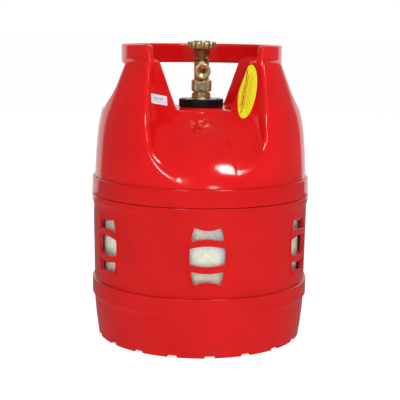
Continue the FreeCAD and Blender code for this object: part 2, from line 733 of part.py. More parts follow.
def valve_bonnet():
    """Bonnet: a cone that widens upwards, screwed into the body, holding both stems."""
    low = BODY_TOP_Z + BONNET_SEAL_THICKNESS
    cone = Part.makeCone(BONNET_LOW_R, BONNET_TOP_R, BONNET_TOP_Z - low,
                         FreeCAD.Vector(0, 0, low), Z_AXIS)
    cone = cone.makeFillet(EDGE_R, [edge for edge in cone.Edges if edge.Closed])
    bonnet = cone.fuse(rod(BONNET_THREAD_R - BOND_GAP, THREAD_Z + FREE_GAP, low + 1))
    gland_low = GLAND_Z - GLAND_SECTION_R - BOND_GAP
    gland_top = GLAND_Z + GLAND_SECTION_R + BOND_GAP
    cuts = [rod(LOWER_STEM_R + RUNNING_GAP, THREAD_Z, low),
            rod(BONNET_CHAMBER_R, low - 1, BONNET_CHAMBER_TOP_Z),
            rod(UPPER_STEM_R + RUNNING_GAP, BONNET_CHAMBER_TOP_Z - 1, BONNET_TOP_Z + 1),
            rod(UPPER_STEM_R + 2 * GLAND_SECTION_R + BOND_GAP, gland_low, gland_top)]
    for side in (-PIN_X, PIN_X):
        cuts.append(forward_rod(PIN_R + RUNNING_GAP, -BONNET_TOP_R, BONNET_TOP_R, PIN_Z, side))
    for tool in cuts:
        bonnet = bonnet.cut(tool)
    return bonnet.removeSplitter()


def bonnet_seal():
    """Washer between the valve body and the bonnet."""
    low = BODY_TOP_Z + BOND_GAP / 2
    top = BODY_TOP_Z + BONNET_SEAL_THICKNESS - BOND_GAP / 2
    return rod(BONNET_LOW_R - BOND_GAP, low, top).cut(rod(BONNET_THREAD_R, low, top))


def gland_seal():
    """Ring that seals the upper stem in the bonnet."""
    centre = FreeCAD.Vector(0, 0, GLAND_Z)
    middle = UPPER_STEM_R + RUNNING_GAP + GLAND_SECTION_R
    return Part.makeTorus(middle, GLAND_SECTION_R, centre, Z_AXIS)


def lock_pins():
    """Two roll pins through the bonnet, one each side of the stem."""
    pins = []
    for side in (-PIN_X, PIN_X):
        pin = forward_rod(PIN_R, -PIN_REACH, PIN_REACH, PIN_Z, side)
        pins.append(pin.makeFillet(PIN_R / 2, [edge for edge in pin.Edges if edge.Closed]))
    return Part.Compound(pins)


def spindle_upper():
    """Stem turned by the handwheel, with a flange, a square for the wheel and a tang."""
    flange_low, flange_top = UPPER_STEM_FLANGE_Z
    stem = rod(UPPER_STEM_R, flange_low, WHEEL_Z[0])
    flange = rod(UPPER_STEM_FLANGE_R, flange_low, flange_top)
    square = square_rod(SQUARE_HALF, WHEEL_Z[0] - 1, WHEEL_HUB_TOP_Z - FREE_GAP)
    stud = rod(STUD_R, WHEEL_HUB_TOP_Z - 1, NUT_TOP_Z - FREE_GAP)
    tang = square_rod(TANG_HALF, UPPER_STEM_LOW_Z, flange_low + 1)
    return stem.fuse([flange, square, stud, tang]).removeSplitter()


def spindle_lower():
    """Threaded stem that rises as it turns, with a square socket and a swivel head."""
    low, top = LOWER_STEM_Z
    stem = rod(LOWER_STEM_R, low, top)
    neck = rod(LOWER_STEM_NECK_R, LOWER_STEM_HEAD_Z, low + 1)
    head = rod(LOWER_STEM_HEAD_R, LOWER_STEM_HEAD_Z, LOWER_STEM_HEAD_Z + LOWER_STEM_HEAD_THICKNESS)
    socket = square_rod(TANG_SOCKET_HALF, TANG_SOCKET_FLOOR_Z, top + 1)
    return stem.fuse([neck, head]).cut(socket).removeSplitter()


def seat_holder():
    """Cup that carries the seat disc and hangs on the lower stem's swivel head."""
    disc_top = SEAT_DISC_LOW_Z + SEAT_DISC_THICKNESS + BOND_GAP
    low = SEAT_DISC_LOW_Z + FREE_GAP
    holder = rod(SEAT_HOLDER_R, low, SEAT_HOLDER_TOP_Z)
    pocket = rod(SEAT_DISC_R + BOND_GAP, low - 1, disc_top)
    head_low = LOWER_STEM_HEAD_Z - FREE_GAP
    head_top = LOWER_STEM_HEAD_Z + LOWER_STEM_HEAD_THICKNESS + FREE_GAP
    head = rod(LOWER_STEM_HEAD_R + FREE_GAP, head_low, head_top)
    neck = rod(LOWER_STEM_NECK_R + FREE_GAP, head_low, SEAT_HOLDER_TOP_Z + 1)
    return holder.cut(pocket).cut(head).cut(neck)


def seat_disc():
    """Soft disc that closes on the seat's lip."""
    return rod(SEAT_DISC_R, SEAT_DISC_LOW_Z, SEAT_DISC_LOW_Z + SEAT_DISC_THICKNESS)


# ================================================================ handwheel
def handwheel():
    """Scalloped brass wheel, dished above and below, with a boss round its square hole."""
    low, top = WHEEL_Z
    edge = WHEEL_EDGE_R
    chord = edge * (1 - math.sqrt(0.5))
    wheel = turned(outline(
        (0, low), ((WHEEL_HUB_R, low),), ((WHEEL_HUB_R + 1, low + WHEEL_UNDER_DEPTH),),
        ((WHEEL_DISH_R, low + WHEEL_UNDER_DEPTH),), ((WHEEL_DISH_R + 1, low),),
        ((WHEEL_R - edge, low),), ((WHEEL_R - chord, low + chord), (WHEEL_R, low + edge)),
        ((WHEEL_R, top - edge),), ((WHEEL_R - chord, top - chord), (WHEEL_R - edge, top)),
        ((WHEEL_DISH_R + 1, top),), ((WHEEL_DISH_R, top - WHEEL_DISH_DEPTH),),
        ((WHEEL_BOSS_R + 1, top - WHEEL_DISH_DEPTH),), ((WHEEL_BOSS_R, WHEEL_BOSS_TOP_Z),),
        ((WHEEL_BOSS_INNER_R, WHEEL_BOSS_TOP_Z),), ((WHEEL_BOSS_INNER_R, WHEEL_HUB_TOP_Z),),
        ((0, WHEEL_HUB_TOP_Z),)))
    scallop = rod(WHEEL_SCALLOP_R, low - 1, top + 1, WHEEL_SCALLOP_CENTRE_R)
    wheel = wheel.cut(around(scallop, WHEEL_LOBES))
    return wheel.cut(square_rod(SQUARE_HALF + SQUARE_CLEARANCE, low - 1, WHEEL_BOSS_TOP_Z))


def handwheel_washer():
    """Washer on the hub."""
    low = WHEEL_HUB_TOP_Z + BOND_GAP / 2
    return rod(WASHER_R, low, low + WASHER_THICKNESS).cut(rod(STUD_R + BOND_GAP, low, low + 1))


def handwheel_nut():
    """Hexagon nut that holds the wheel on the stem."""
    low = WHEEL_HUB_TOP_Z + WASHER_THICKNESS + BOND_GAP
    corner = NUT_FLATS_HALF / math.cos(math.pi / NUT_SIDES)
    turn = 2 * math.pi / NUT_SIDES
    points = [FreeCAD.Vector(corner * math.cos(turn * index), corner * math.sin(turn * index), low)
              for index in range(NUT_SIDES + 1)]
    hexagon = Part.Face(Part.makePolygon(points)).extrude(Z_AXIS * (NUT_TOP_Z - low))
    round_off = Part.makeCone(corner + 1, NUT_FLATS_HALF, NUT_TOP_Z - low,
                              FreeCAD.Vector(0, 0, low), Z_AXIS)
    return hexagon.common(round_off).cut(rod(STUD_R + BOND_GAP, low, NUT_TOP_Z + 1))


# ================================================================ relief valve
def relief_plug():
    """Screwed plug that holds the relief spring, with a ring-shaped head in front."""
    plug = forward_rod(RELIEF_CHAMBER_R - BOND_GAP, RELIEF_SHANK_Y, BLOCK_HALF + 1, RELIEF_Z)
    head = forward_rod(RELIEF_PLUG_R, BLOCK_HALF + BOND_GAP / 2, RELIEF_PLUG_Y, RELIEF_Z)
    front = [edge for edge in head.Edges if edge.Closed and edge.BoundBox.YMin < 1 - RELIEF_PLUG_Y]
    plug = plug.fuse(head.makeFillet(EDGE_R, front))
    plug = plug.cut(forward_rod(RELIEF_SPRING_BORE_R, 0, RELIEF_SPRING_END_Y, RELIEF_Z))
    plug = plug.cut(forward_rod(RELIEF_PORT_R, 0, RELIEF_PLUG_Y, RELIEF_Z))
    cap_y = RELIEF_PLUG_Y - DUST_CAP_THICKNESS
    return plug.cut(forward_rod(DUST_CAP_R + BOND_GAP, cap_y, RELIEF_PLUG_Y + 1, RELIEF_Z))


def relief_dust_cap():
    """Grey disc that keeps dirt out of the relief valve."""
    near = RELIEF_PLUG_Y - DUST_CAP_THICKNESS + BOND_GAP / 2
    far = near + DUST_CAP_THICKNESS - FREE_GAP
    cap = forward_rod(DUST_CAP_R, near, far, RELIEF_Z)
    front = [edge for edge in cap.Edges if edge.Closed and edge.BoundBox.YMin < BOND_GAP - far]
    return cap.makeFillet(DUST_CAP_THICKNESS / 4, front)


def relief_seal():
    """Soft disc on the relief poppet."""
    near = RELIEF_SEAT_Y + FREE_GAP
    return forward_rod(RELIEF_SEAL_R, near, near + RELIEF_SEAL_THICKNESS, RELIEF_Z)


def relief_poppet():
    """Poppet with a stem that the spring sits round."""
    near = RELIEF_SEAT_Y + FREE_GAP + RELIEF_SEAL_THICKNESS
    disc = forward_rod(RELIEF_POPPET_R, near, near + RELIEF_POPPET_THICKNESS, RELIEF_Z)
    return disc.fuse(forward_rod(RELIEF_STEM_R, near, RELIEF_STEM_Y, RELIEF_Z)).removeSplitter()


def relief_spring():
    """Coil spring between the poppet and the plug."""
    near = RELIEF_SEAT_Y + FREE_GAP + RELIEF_SEAL_THICKNESS + RELIEF_POPPET_THICKNESS
    length = RELIEF_SPRING_END_Y - near - 2 * SPRING_WIRE_R - BOND_GAP
    helix = Part.makeHelix(length / SPRING_TURNS, length, SPRING_R)
    along = FreeCAD.Vector(0, 2 * math.pi * SPRING_R, length / SPRING_TURNS)
    wire = Part.Wire(Part.makeCircle(SPRING_WIRE_R, FreeCAD.Vector(SPRING_R, 0, 0), along))
    spring = Part.Wire(helix).makePipeShell([wire], True, True)
    spring.rotate(ORIGIN, FreeCAD.Vector(1, 0, 0), 90)
    spring.translate(FreeCAD.Vector(0, -near - SPRING_WIRE_R - BOND_GAP / 2, RELIEF_Z))
    return spring


# ================================================================ labels
def on_leg_face(flat, side, height, depth, tilt):
    """Lay a flat label on a front leg's valley face, side +1 right or -1 left."""
    lean = math.tan(math.radians(VALLEY_LEAN))
    bulge = VALLEY_SPREAD / math.cos(math.radians(VALLEY_LEAN))
    half = bulge * (depth - VALLEY_APEX) + lean * (height - VALLEY_Z)
    normal = FreeCAD.Vector(-side, -bulge, lean)
    normal.normalize()
    across = FreeCAD.Vector(0, 0, 1).cross(normal)
    across.normalize()
    up = normal.cross(across)
    turn = FreeCAD.Rotation(across, up, normal, "ZXY")
    flat.rotate(ORIGIN, Z_AXIS, tilt)
    place = FreeCAD.Vector(side * half, -depth, height) + normal * BOND_GAP
    return flat.transformed(FreeCAD.Placement(place, turn).toMatrix())


def safety_label():
    """Yellow oval label on the right front leg."""
    ellipse = Part.Ellipse(FreeCAD.Vector(0, OVAL_LABEL_LENGTH / 2, 0),
                           FreeCAD.Vector(-OVAL_LABEL_WIDTH / 2, 0, 0), ORIGIN)
    flat = Part.Face(Part.Wire(ellipse.toShape())).extrude(Z_AXIS * LABEL_THICKNESS)
    return on_leg_face(flat, 1, OVAL_LABEL_Z, OVAL_LABEL_DEPTH, OVAL_LABEL_TILT)


def barcode_label():
    """Small white label on the left front leg."""
    corner = FreeCAD.Vector(-BAR_LABEL_LENGTH / 2, -BAR_LABEL_WIDTH / 2, 0)
    flat = Part.makeBox(BAR_LABEL_LENGTH, BAR_LABEL_WIDTH, LABEL_THICKNESS, corner)
    upright = [edge for edge in flat.Edges if edge.BoundBox.DiagonalLength < BOND_GAP * 4]
    flat = flat.makeFillet(BAR_LABEL_CORNER_R, upright)
    return on_leg_face(flat, -1, BAR_LABEL_Z, BAR_LABEL_DEPTH, BAR_LABEL_TILT)


def winding_label():
    """White square label on the winding, corner down, partly behind the front window."""
    half = WINDING_LABEL_SIDE / 2
    centre = FreeCAD.Vector(WINDING_LABEL_X, 0, WINDING_LABEL_Z)
    plate = Part.makeBox(2 * half, SHELL_R + 1, 2 * half,
                         centre + FreeCAD.Vector(-half, -SHELL_R - 1, -half))
    plate.rotate(centre, FRONT, WINDING_LABEL_TILT)
    low = WINDING_LABEL_Z - 2 * half
    top = WINDING_LABEL_Z + 2 * half
    skin = rod(SHELL_R + LABEL_THICKNESS, low, top).cut(rod(SHELL_R + BOND_GAP / 2, low, top))
    return skin.common(plate)


PIECES = (upper_casing, lower_casing, composite_shell, inner_liner, neck_boss, boss_o_ring,
          neck_flange, valve_body, valve_bonnet, bonnet_seal, gland_seal, lock_pins,
          spindle_upper, spindle_lower, seat_holder, seat_disc, handwheel, handwheel_washer,
          handwheel_nut, relief_plug, relief_dust_cap, relief_seal, relief_poppet,
          relief_spring, safety_label, barcode_label, winding_label)

os.makedirs("parts", exist_ok=True)
for piece in PIECES:
    piece().exportStep(os.path.join("parts", piece.__name__ + ".step"))
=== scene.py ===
import math

import bpy
import numpy as np
from mathutils import Matrix


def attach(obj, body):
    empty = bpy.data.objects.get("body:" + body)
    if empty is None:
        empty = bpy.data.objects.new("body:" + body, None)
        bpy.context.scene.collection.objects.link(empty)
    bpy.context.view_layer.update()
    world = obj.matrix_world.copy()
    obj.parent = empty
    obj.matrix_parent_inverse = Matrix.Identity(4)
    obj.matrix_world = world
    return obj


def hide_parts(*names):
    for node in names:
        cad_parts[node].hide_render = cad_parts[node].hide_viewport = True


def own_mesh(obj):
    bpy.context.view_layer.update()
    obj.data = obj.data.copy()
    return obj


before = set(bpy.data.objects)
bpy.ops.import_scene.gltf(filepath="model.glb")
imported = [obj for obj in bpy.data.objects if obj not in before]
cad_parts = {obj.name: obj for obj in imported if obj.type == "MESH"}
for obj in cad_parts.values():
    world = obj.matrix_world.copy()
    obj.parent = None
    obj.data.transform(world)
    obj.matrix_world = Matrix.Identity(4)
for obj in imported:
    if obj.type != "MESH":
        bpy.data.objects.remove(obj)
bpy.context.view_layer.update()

# Looks of a gas cylinder in a two-part moulded casing.  Shapes are worked out in
# millimetres, with Z up the cylinder's axis and -Y to the front, and meshes are in metres.
MM = 0.001

# ---------------------------------------------------------------- shoulder of the casing
WALL = 4.2                                # thickness of the moulding
FLANK_ZS = (225.2, 286.0, 319.0)          # heights where the flank's slope is known
FLANK_SLOPES = (-0.03, -0.11, -0.296)     # growth of its radius per unit of height there
LEG_SLOPE = -0.355                        # slope of the legs' outer face above that
FLANK_R = 148.0
FLANK_LEAN = math.hypot(1, 0.2)           # share by which the flank's slope stretches distance
LEG_TOP_Z = 385.0
DOME_R, DOME_HEIGHT, DOME_BASE_Z = 148.0, 98.0, 212.0
COLLAR_R, COLLAR_TOP_Z, COLLAR_SPREAD = 37.5, 320.0, 0.5   # spread: growth per unit down
COLLAR_BORE_R = 26.0
VALLEY_HALF, VALLEY_Z, VALLEY_APEX, VALLEY_SPREAD = 77.0, 295.0, 25.0, 0.83
VALLEY_ARCH_Z = 290.0                     # height where the slot's sides turn into its arch
VALLEY_LEAN = math.radians(15.1)
HOLE_HALF, HOLE_Z, HOLE_CORNER = 44.7, 319.0, 31.0         # the side hand holes
HOLE_HEIGHT = 120.0                       # far enough up to open the hole to the well
WELL_FOOT_R, WELL_TOP_R = 68.0, 88.0      # conical well round the valve
WELL_LEAN = 0.957                         # cosine of the well wall's lean
RING_MIDDLE, RING_HALF = (105.0, 392.0), (6.0, 14.0)       # (radius, height) of the ring
RING_CORNER, RING_BIG_CORNER = 3.0, 8.0
SHOULDER_LOW_Z, SHOULDER_STEP = 211.6, 2.3
PANEL_HALF, PANEL_Z, PANEL_HEIGHT, PANEL_PROUD = 38.0, 222.0, 76.0, 0.6
EDGE_HIGHLIGHT_REACH = 2.5                          # how far round an edge its painted highlight reaches
PANEL_POWER = 2.6                         # 2 would give an ellipse, more a squarer arch
OUT_R, LOW_END, HIGH_END = 154.0, 3.0, 409.5               # room given to the shoulder's grid

# ---------------------------------------------------------------- valve forging
FORGING_STEP = 0.5
OUTLET_Z, RELIEF_Z = 369.6, 349.6
OUTLET_BORE_R, OUTLET_CONE_R, OUTLET_CONE_DEPTH = 3.5, 7.8, 3.0
THREAD_PITCH, THREAD_DEPTH, THREAD_FADE = 1.8, 0.55, 0.8   # left-hand thread of the outlet
THREAD_ENDS = (13.2, 23.4)

# ---------------------------------------------------------------- handwheel
WHEEL_LOBES = 16
WHEEL_R = 20.25
WHEEL_SCALLOP = 1.5
SQUARE_HALF = 2.95

# ---------------------------------------------------------------- rows on the oval label
OVAL_ROWS = [    # place across, half width, start, end, blocks a length, strength of the ink
    (0.25, 0.022, 0.22, 0.60, 60.0, 0.9), (0.335, 0.034, 0.10, 0.90, 40.0, 1.0),
    (0.43, 0.026, 0.18, 0.82, 60.0, 0.9), (0.55, 0.018, 0.20, 0.86, 80.0, 0.5),
    (0.63, 0.018, 0.22, 0.84, 80.0, 0.5), (0.71, 0.018, 0.26, 0.80, 80.0, 0.5)]

# ---------------------------------------------------------------- relief spring
COIL_R, WIRE_R, COIL_TURNS = 2.4, 0.35, 4.5
COIL_START, COIL_END = 9.71, 15.39        # places of the wire's centre along the bore


# ================================================================ distances
def merge(a, b, k):
    """Smooth least of two distances: the least, less h*h*k/4 where h = max(k-|a-b|, 0)/k."""
    h = np.maximum(k - np.abs(a - b), 0) / k
    return np.minimum(a, b) - h * h * k / 4


def trim(a, b, k):
    """Smooth greatest of two distances, the other side of the same blend."""
    return -merge(-a, -b, k)


def rounded_box(x, y, half_x, half_y, corner):
    """Distance to a rectangle with round corners: length of the outside part of
    (|x|, |y|) - half + corner, plus its inside part, less the corner."""
    qx = np.abs(x) - half_x + corner
    qy = np.abs(y) - half_y + corner
    outside = np.hypot(np.maximum(qx, 0), np.maximum(qy, 0))
    return outside + np.minimum(np.maximum(qx, qy), 0) - corner


def bar_along(radial, along, radius, near, far, edge):
    """Distance to a round bar with rounded ends, from its radial and lengthwise places."""
    return rounded_box(radial, along - (near + far) / 2, radius, (far - near) / 2, edge)


def flank_radius(z):
    """Radius of the flank: constant below the first height, then two pieces whose slope
    changes evenly, r = r0 + s0*dz + (s1-s0)*dz*dz/(2*length), then a straight cone."""
    radius = np.full_like(z, FLANK_R)
    for low, high, first, last in zip(FLANK_ZS, FLANK_ZS[1:], FLANK_SLOPES, FLANK_SLOPES[1:]):
        dz = np.clip(z - low, 0, high - low)
        radius += first * dz + (last - first) * dz * dz / (2 * (high - low))
    return radius + LEG_SLOPE * np.maximum(z - FLANK_ZS[-1], 0)


def valley(x, depth, z):
    """Distance to a valley: a funnel of circles whose radius grows by the spread per unit
    of depth, its sides leaning out upwards, inside a slot with an arched lower end."""
    x = np.abs(x)
    up = z - VALLEY_Z
    along = x * math.sin(VALLEY_LEAN) + up * math.cos(VALLEY_LEAN)
    side = x * math.cos(VALLEY_LEAN) - up * math.sin(VALLEY_LEAN)
    reach = np.where(along < 0, np.hypot(x, up), side)
    funnel = (reach - VALLEY_SPREAD * (depth - VALLEY_APEX)) / math.hypot(1, VALLEY_SPREAD)
    slot = np.hypot(x, np.minimum(z - VALLEY_ARCH_Z, 0)) - VALLEY_HALF
    return np.maximum(trim(funnel, slot, 12), -depth)


def dome_and_collar(r, x, z):
    """Dome: an ellipse turned about the axis, distance k0*(k0-1)/k1 with k0 = |p/ab| and
    k1 = |p/ab/ab|.  A faint arched panel is raised on it, and a cone is merged on top."""
    high = np.maximum(z - DOME_BASE_Z, 0)
    first = np.hypot(r / DOME_R, high / DOME_HEIGHT)
    second = np.hypot(r / DOME_R ** 2, high / DOME_HEIGHT ** 2)
    dome = first * (first - 1) / np.maximum(second, 1e-9)
    arch = ((np.abs(x) / PANEL_HALF) ** PANEL_POWER
            + (np.abs(z - PANEL_Z) / PANEL_HEIGHT) ** PANEL_POWER)
    ease = np.clip((1.15 - arch) / 0.35, 0, 1)
    dome = dome - PANEL_PROUD * ease * ease * (3 - 2 * ease)
    cone = (r - COLLAR_R - COLLAR_SPREAD * (COLLAR_TOP_Z - z)) / math.hypot(1, COLLAR_SPREAD)
    return merge(dome, cone, 8)


def casing_top(p):
    """Distance to the filled shoulder, its legs and its ring, from an array of points."""
    x, y, z = p[..., 0], p[..., 1], p[..., 2]
    r = np.hypot(x, y)
    front = valley(x, -y, z)
    valleys = np.minimum(front, valley(x, y, z))
    collar = dome_and_collar(r, x, z)
    body = merge(-valleys, collar, 30)
    body = trim(body, (r - flank_radius(z)) / FLANK_LEAN, 8)
    body = trim(body, z - LEG_TOP_Z, 3.5)
    up = np.minimum(z - HOLE_Z - HOLE_HEIGHT / 2, 0)
    hole = rounded_box(y, up, HOLE_HALF, HOLE_HEIGHT / 2, HOLE_CORNER)
    body = trim(body, -hole, 4)
    well_r = WELL_FOOT_R + (WELL_TOP_R - WELL_FOOT_R) * (z - HOLE_Z) / (LEG_TOP_Z - HOLE_Z)
    body = trim(body, -np.maximum((r - well_r) * WELL_LEAN, HOLE_Z - z), 4)
    body = merge(body, trim(collar, z - COLLAR_TOP_Z, 4), 2)
    across, up = r - RING_MIDDLE[0], z - RING_MIDDLE[1]
    corner = np.where((across > 0) & (up < 0), RING_BIG_CORNER, RING_CORNER)
    ring = rounded_box(across, up, RING_HALF[0], RING_HALF[1], np.minimum(corner, RING_HALF[0]))
    ring = trim(ring, -front, 4)
    return merge(body, ring, 3)


def shoulder(p):
    """Distance to the hollow shoulder: the filled shape less itself shrunk by the wall,
    cut off below, with the collar's bore."""
    x, y, z = p[..., 0], p[..., 1], p[..., 2]
    filled = casing_top(p)
    hollow = np.maximum(filled + WALL, z - COLLAR_TOP_Z + WALL)
    wall = np.maximum(filled, -hollow)
    return np.maximum(np.maximum(wall, COLLAR_BORE_R - np.hypot(x, y)), SHOULDER_LOW_Z - z)


def forging(p):
    """Distance to the valve forging: turned and square lengths merged together, less its
    bores.  The outlet's thread is a ridge that advances its pitch a turn."""
    x, y, z = p[..., 0], p[..., 1], p[..., 2]
    r = np.hypot(x, y)
    forward = -y
    out = np.hypot(x, z - OUTLET_Z)
    port = np.hypot(x, z - RELIEF_Z)
    barrel = bar_along(r, z, 10.25, 345, 382.5, 0.5)
    block = trim(rounded_box(x, y, 13.5, 13.5, 5.0), np.abs(z - 349.3) - 7.7, 1.6)
    angle = np.arctan2(z - OUTLET_Z, x)
    ridge = np.abs(((forward / THREAD_PITCH + angle / (2 * math.pi)) % 1.0) - 0.5) * 2
    start, end = THREAD_ENDS
    threaded = (np.clip((forward - start) / THREAD_FADE, 0, 1)
                * np.clip((end - forward) / THREAD_FADE, 0, 1))
    outlet = bar_along(out + THREAD_DEPTH * ridge * threaded, forward, 10.9, 12.5, 25.0, 0.8)
    root = bar_along(out, forward, 9.6, 0, 24.0, 0.5)
    neck = bar_along(r, z, 11.0, 337, 343, 0.5)
    collar = bar_along(r, z, 13.1, 332.6, 339, 0.9)
    shank = bar_along(r, z, 12.7, 300, 334, 0.6)
    body = merge(barrel, block, 2.4)
    body = merge(merge(body, root, 2.6), outlet, 0.4)
    body = merge(merge(merge(body, neck, 0.5), collar, 0.5), shank, 0.2)
    face_slope = (OUTLET_CONE_R - OUTLET_BORE_R) / OUTLET_CONE_DEPTH
    cone = out - OUTLET_BORE_R - (forward - 22.0) * face_slope
    bores = (np.maximum(r - 4.0, z - 358),                          # gas way up the shank
             np.maximum(r - 3.2, z - 364),                          # seat
             np.maximum(r - 7.6, np.maximum(362 - z, z - 375)),     # chamber
             np.maximum(r - 8.4, 374.5 - z),                        # bonnet thread
             np.maximum(out - OUTLET_BORE_R, 6.6 - forward),        # outlet
             np.maximum(cone, 21.8 - forward) * 0.57,               # outlet's cone face
             np.maximum(port - 1.5, -forward),                      # relief port
             np.maximum(port - 4.9, 6.4 - forward))                 # relief pocket
    for bore in bores:
        body = np.maximum(body, -bore)
    return body


# ================================================================ meshes
def slope_of(distance, points, reach):
    """Gradient of a distance at points, by differences along each axis."""
    columns = []
    for axis in range(3):
        step = np.zeros(3)
        step[axis] = reach
        columns.append((distance(points + step) - distance(points - step)) / (2 * reach))
    return np.stack(columns, axis=-1)


def settle(distance, points, level, reach, rounds=3):
    """Points moved along the gradient until the distance there equals the level."""
    for _ in range(rounds):
        slope = slope_of(distance, points, reach)
        size = np.maximum((slope ** 2).sum(-1), 0.25)
        points = points - slope * ((distance(points) - level) / size)[:, None]
    return points


def skin_of(distance, low, high, step):
    """Quad mesh of a distance's zero level.  Each grid cell that the level crosses has one
    point, the mean of the crossings on its edges, and each crossed grid edge gives a quad
    of the four cells round it.  The points are then settled on the level."""
    low = np.array(low, float)
    counts = np.ceil((np.array(high) - low) / step).astype(int) + 1
    axes = [low[axis] + step * np.arange(counts[axis]) for axis in range(3)]
    field = np.stack([distance(np.stack(np.meshgrid(x, axes[1], axes[2], indexing="ij"), -1)[0])
                      for x in axes[0][:, None]])
    inside = field < 0
    corners = sum(inside[i:counts[0] - 1 + i, j:counts[1] - 1 + j, k:counts[2] - 1 + k].astype(int)
                  for i in (0, 1) for j in (0, 1) for k in (0, 1))
    cells = np.argwhere((corners > 0) & (corners < 8))
    number = np.full(counts - 1, -1)
    number[tuple(cells.T)] = np.arange(len(cells))
    total = np.zeros((len(cells), 3))
    crossings = np.zeros(len(cells))
    for axis in range(3):
        others = [item for item in range(3) if item != axis]
        for shift in ((0, 0), (0, 1), (1, 0), (1, 1)):
            start = np.zeros(3, int)
            start[others] = shift
            end = start.copy()
            end[axis] = 1
            a = field[tuple((cells + start).T)]
            b = field[tuple((cells + end).T)]
            crossed = (a < 0) != (b < 0)
            part = np.where(crossed, a / np.where(crossed, a - b, 1), 0)
            place = np.tile(start.astype(float), (len(cells), 1))
            place[:, axis] += part
            total += place * crossed[:, None]
            crossings += crossed
    points = low + step * (cells + total / crossings[:, None])
    faces = []
    for axis in range(3):
        b, c = [(axis + 1) % 3, (axis + 2) % 3]
        size = [counts[item] - (item == axis) for item in range(3)]
        near = [slice(0, size[item]) for item in range(3)]
        far = [slice(int(item == axis), size[item] + int(item == axis)) for item in range(3)]
        edges = np.argwhere(inside[tuple(near)] != inside[tuple(far)])
        edges = edges[(edges[:, b] > 0) & (edges[:, c] > 0)
                      & (edges[:, b] < counts[b] - 1) & (edges[:, c] < counts[c] - 1)]
        around = []
        for shift in ((0, 0), (-1, 0), (-1, -1), (0, -1)):
            cell = edges.copy()
            cell[:, b] += shift[0]
            cell[:, c] += shift[1]
            around.append(number[tuple(cell.T)])
        quad = np.stack(around, axis=1)
        leaving = inside[tuple(edges.T)]
        faces.append(np.where(leaving[:, None], quad, quad[:, ::-1]))
    return settle(distance, points, 0.0, step * 0.1), np.concatenate(faces)


def piece(name, points, faces, normals=None):
    """Object of points in millimetres and quads; smooth, with given normals if any."""
    mesh = bpy.data.meshes.new(name)
    mesh.from_pydata(points * MM, [], faces.tolist())
    mesh.polygons.foreach_set("use_smooth", np.ones(len(mesh.polygons), bool))
    if normals is not None:
        mesh.normals_split_custom_set_from_vertices(normals)
    mesh.update()
    thing = bpy.data.objects.new(name, mesh)
    bpy.context.scene.collection.objects.link(thing)
    return thing


def solid_piece(name, distance, low, high, step):
    """Object of a distance's zero level, with the gradient as its normals."""
    points, faces = skin_of(distance, low, high, step)
    slope = slope_of(distance, points, step * 0.3)
    size = np.maximum(np.linalg.norm(slope, axis=-1, keepdims=True), 1e-6)
    return piece(name, points, faces, slope / size)


def grid_faces(rows, columns, wrap_rows, wrap_columns):
    """Quads of a grid of points numbered row by row, joined up where it wraps."""
    i, j = np.meshgrid(np.arange(rows - (not wrap_rows)),
                       np.arange(columns - (not wrap_columns)), indexing="ij")
    k, m = (i + 1) % rows, (j + 1) % columns
    quads = [i * columns + j, i * columns + m, k * columns + m, k * columns + j]
    return np.stack(quads, axis=-1).reshape(-1, 4)


def rounded_section(corners, count=5):
    """Closed section of (radius, height, rounding) corners, each rounding an arc that
    touches both its sides: centre on the bisector, count points from side to side."""
    out = []
    total = len(corners)
    for index in range(total):
        here = np.array(corners[index][:2], float)
        to_last = np.array(corners[index - 1][:2], float) - here
        to_next = np.array(corners[(index + 1) % total][:2], float) - here
        to_last /= np.linalg.norm(to_last)
        to_next /= np.linalg.norm(to_next)
        radius = corners[index][2]
        if radius <= 0:
            out.append(here)
            continue
        half = math.acos(float(np.clip(to_last @ to_next, -1, 1))) / 2
        middle = (to_last + to_next) / np.linalg.norm(to_last + to_next)
        centre = here + middle * radius / math.sin(half)
        first = here + to_last * radius / math.tan(half) - centre
        last = here + to_next * radius / math.tan(half) - centre
        for part in np.linspace(0, 1, count):
            arm = first * (1 - part) + last * part
            out.append(centre + arm / np.linalg.norm(arm) * radius)
    return np.array(out)


def turned_piece(name, section, columns, shaping=None):
    """Object of a closed section turned about the axis.  Each column of points is the
    section at its angle; shaping(angle, radius) may change the radius."""
    angle = np.linspace(0, 2 * math.pi, columns, endpoint=False)
    radius = np.repeat(section[:, :1], columns, axis=1)
    height = np.repeat(section[:, 1:], columns, axis=1)
    if shaping:
        radius = shaping(angle[None, :], radius)
    points = np.stack([radius * np.cos(angle), radius * np.sin(angle), height], axis=-1)
    return piece(name, points.reshape(-1, 3), grid_faces(len(section), columns, True, True))


# ================================================================ node expressions
class Wire:
    """An output socket that can be used in sums; numbers and wires mix freely."""

    def __init__(self, finish, socket):
        self.finish = finish
        self.socket = socket

    def _with(self, operation, a, b=0.0):
        return self.finish.node("Math", {"operation": operation}, {0: a, 1: b})

    def __add__(self, other):
        return self._with("ADD", self, other)

    def __sub__(self, other):
        return self._with("SUBTRACT", self, other)

    def __rsub__(self, other):
        return self._with("SUBTRACT", other, self)

    def __mul__(self, other):
        return self._with("MULTIPLY", self, other)

    def __truediv__(self, other):
        return self._with("DIVIDE", self, other)

    def __pow__(self, other):
        return self._with("POWER", self, other)

    def __gt__(self, other):
        return self._with("GREATER_THAN", self, other)

    def __lt__(self, other):
        return self._with("LESS_THAN", self, other)

    def absolute(self):
        return self._with("ABSOLUTE", self)

    def wave(self):
        return self._with("SINE", self)

    __radd__ = __add__
    __rmul__ = __mul__


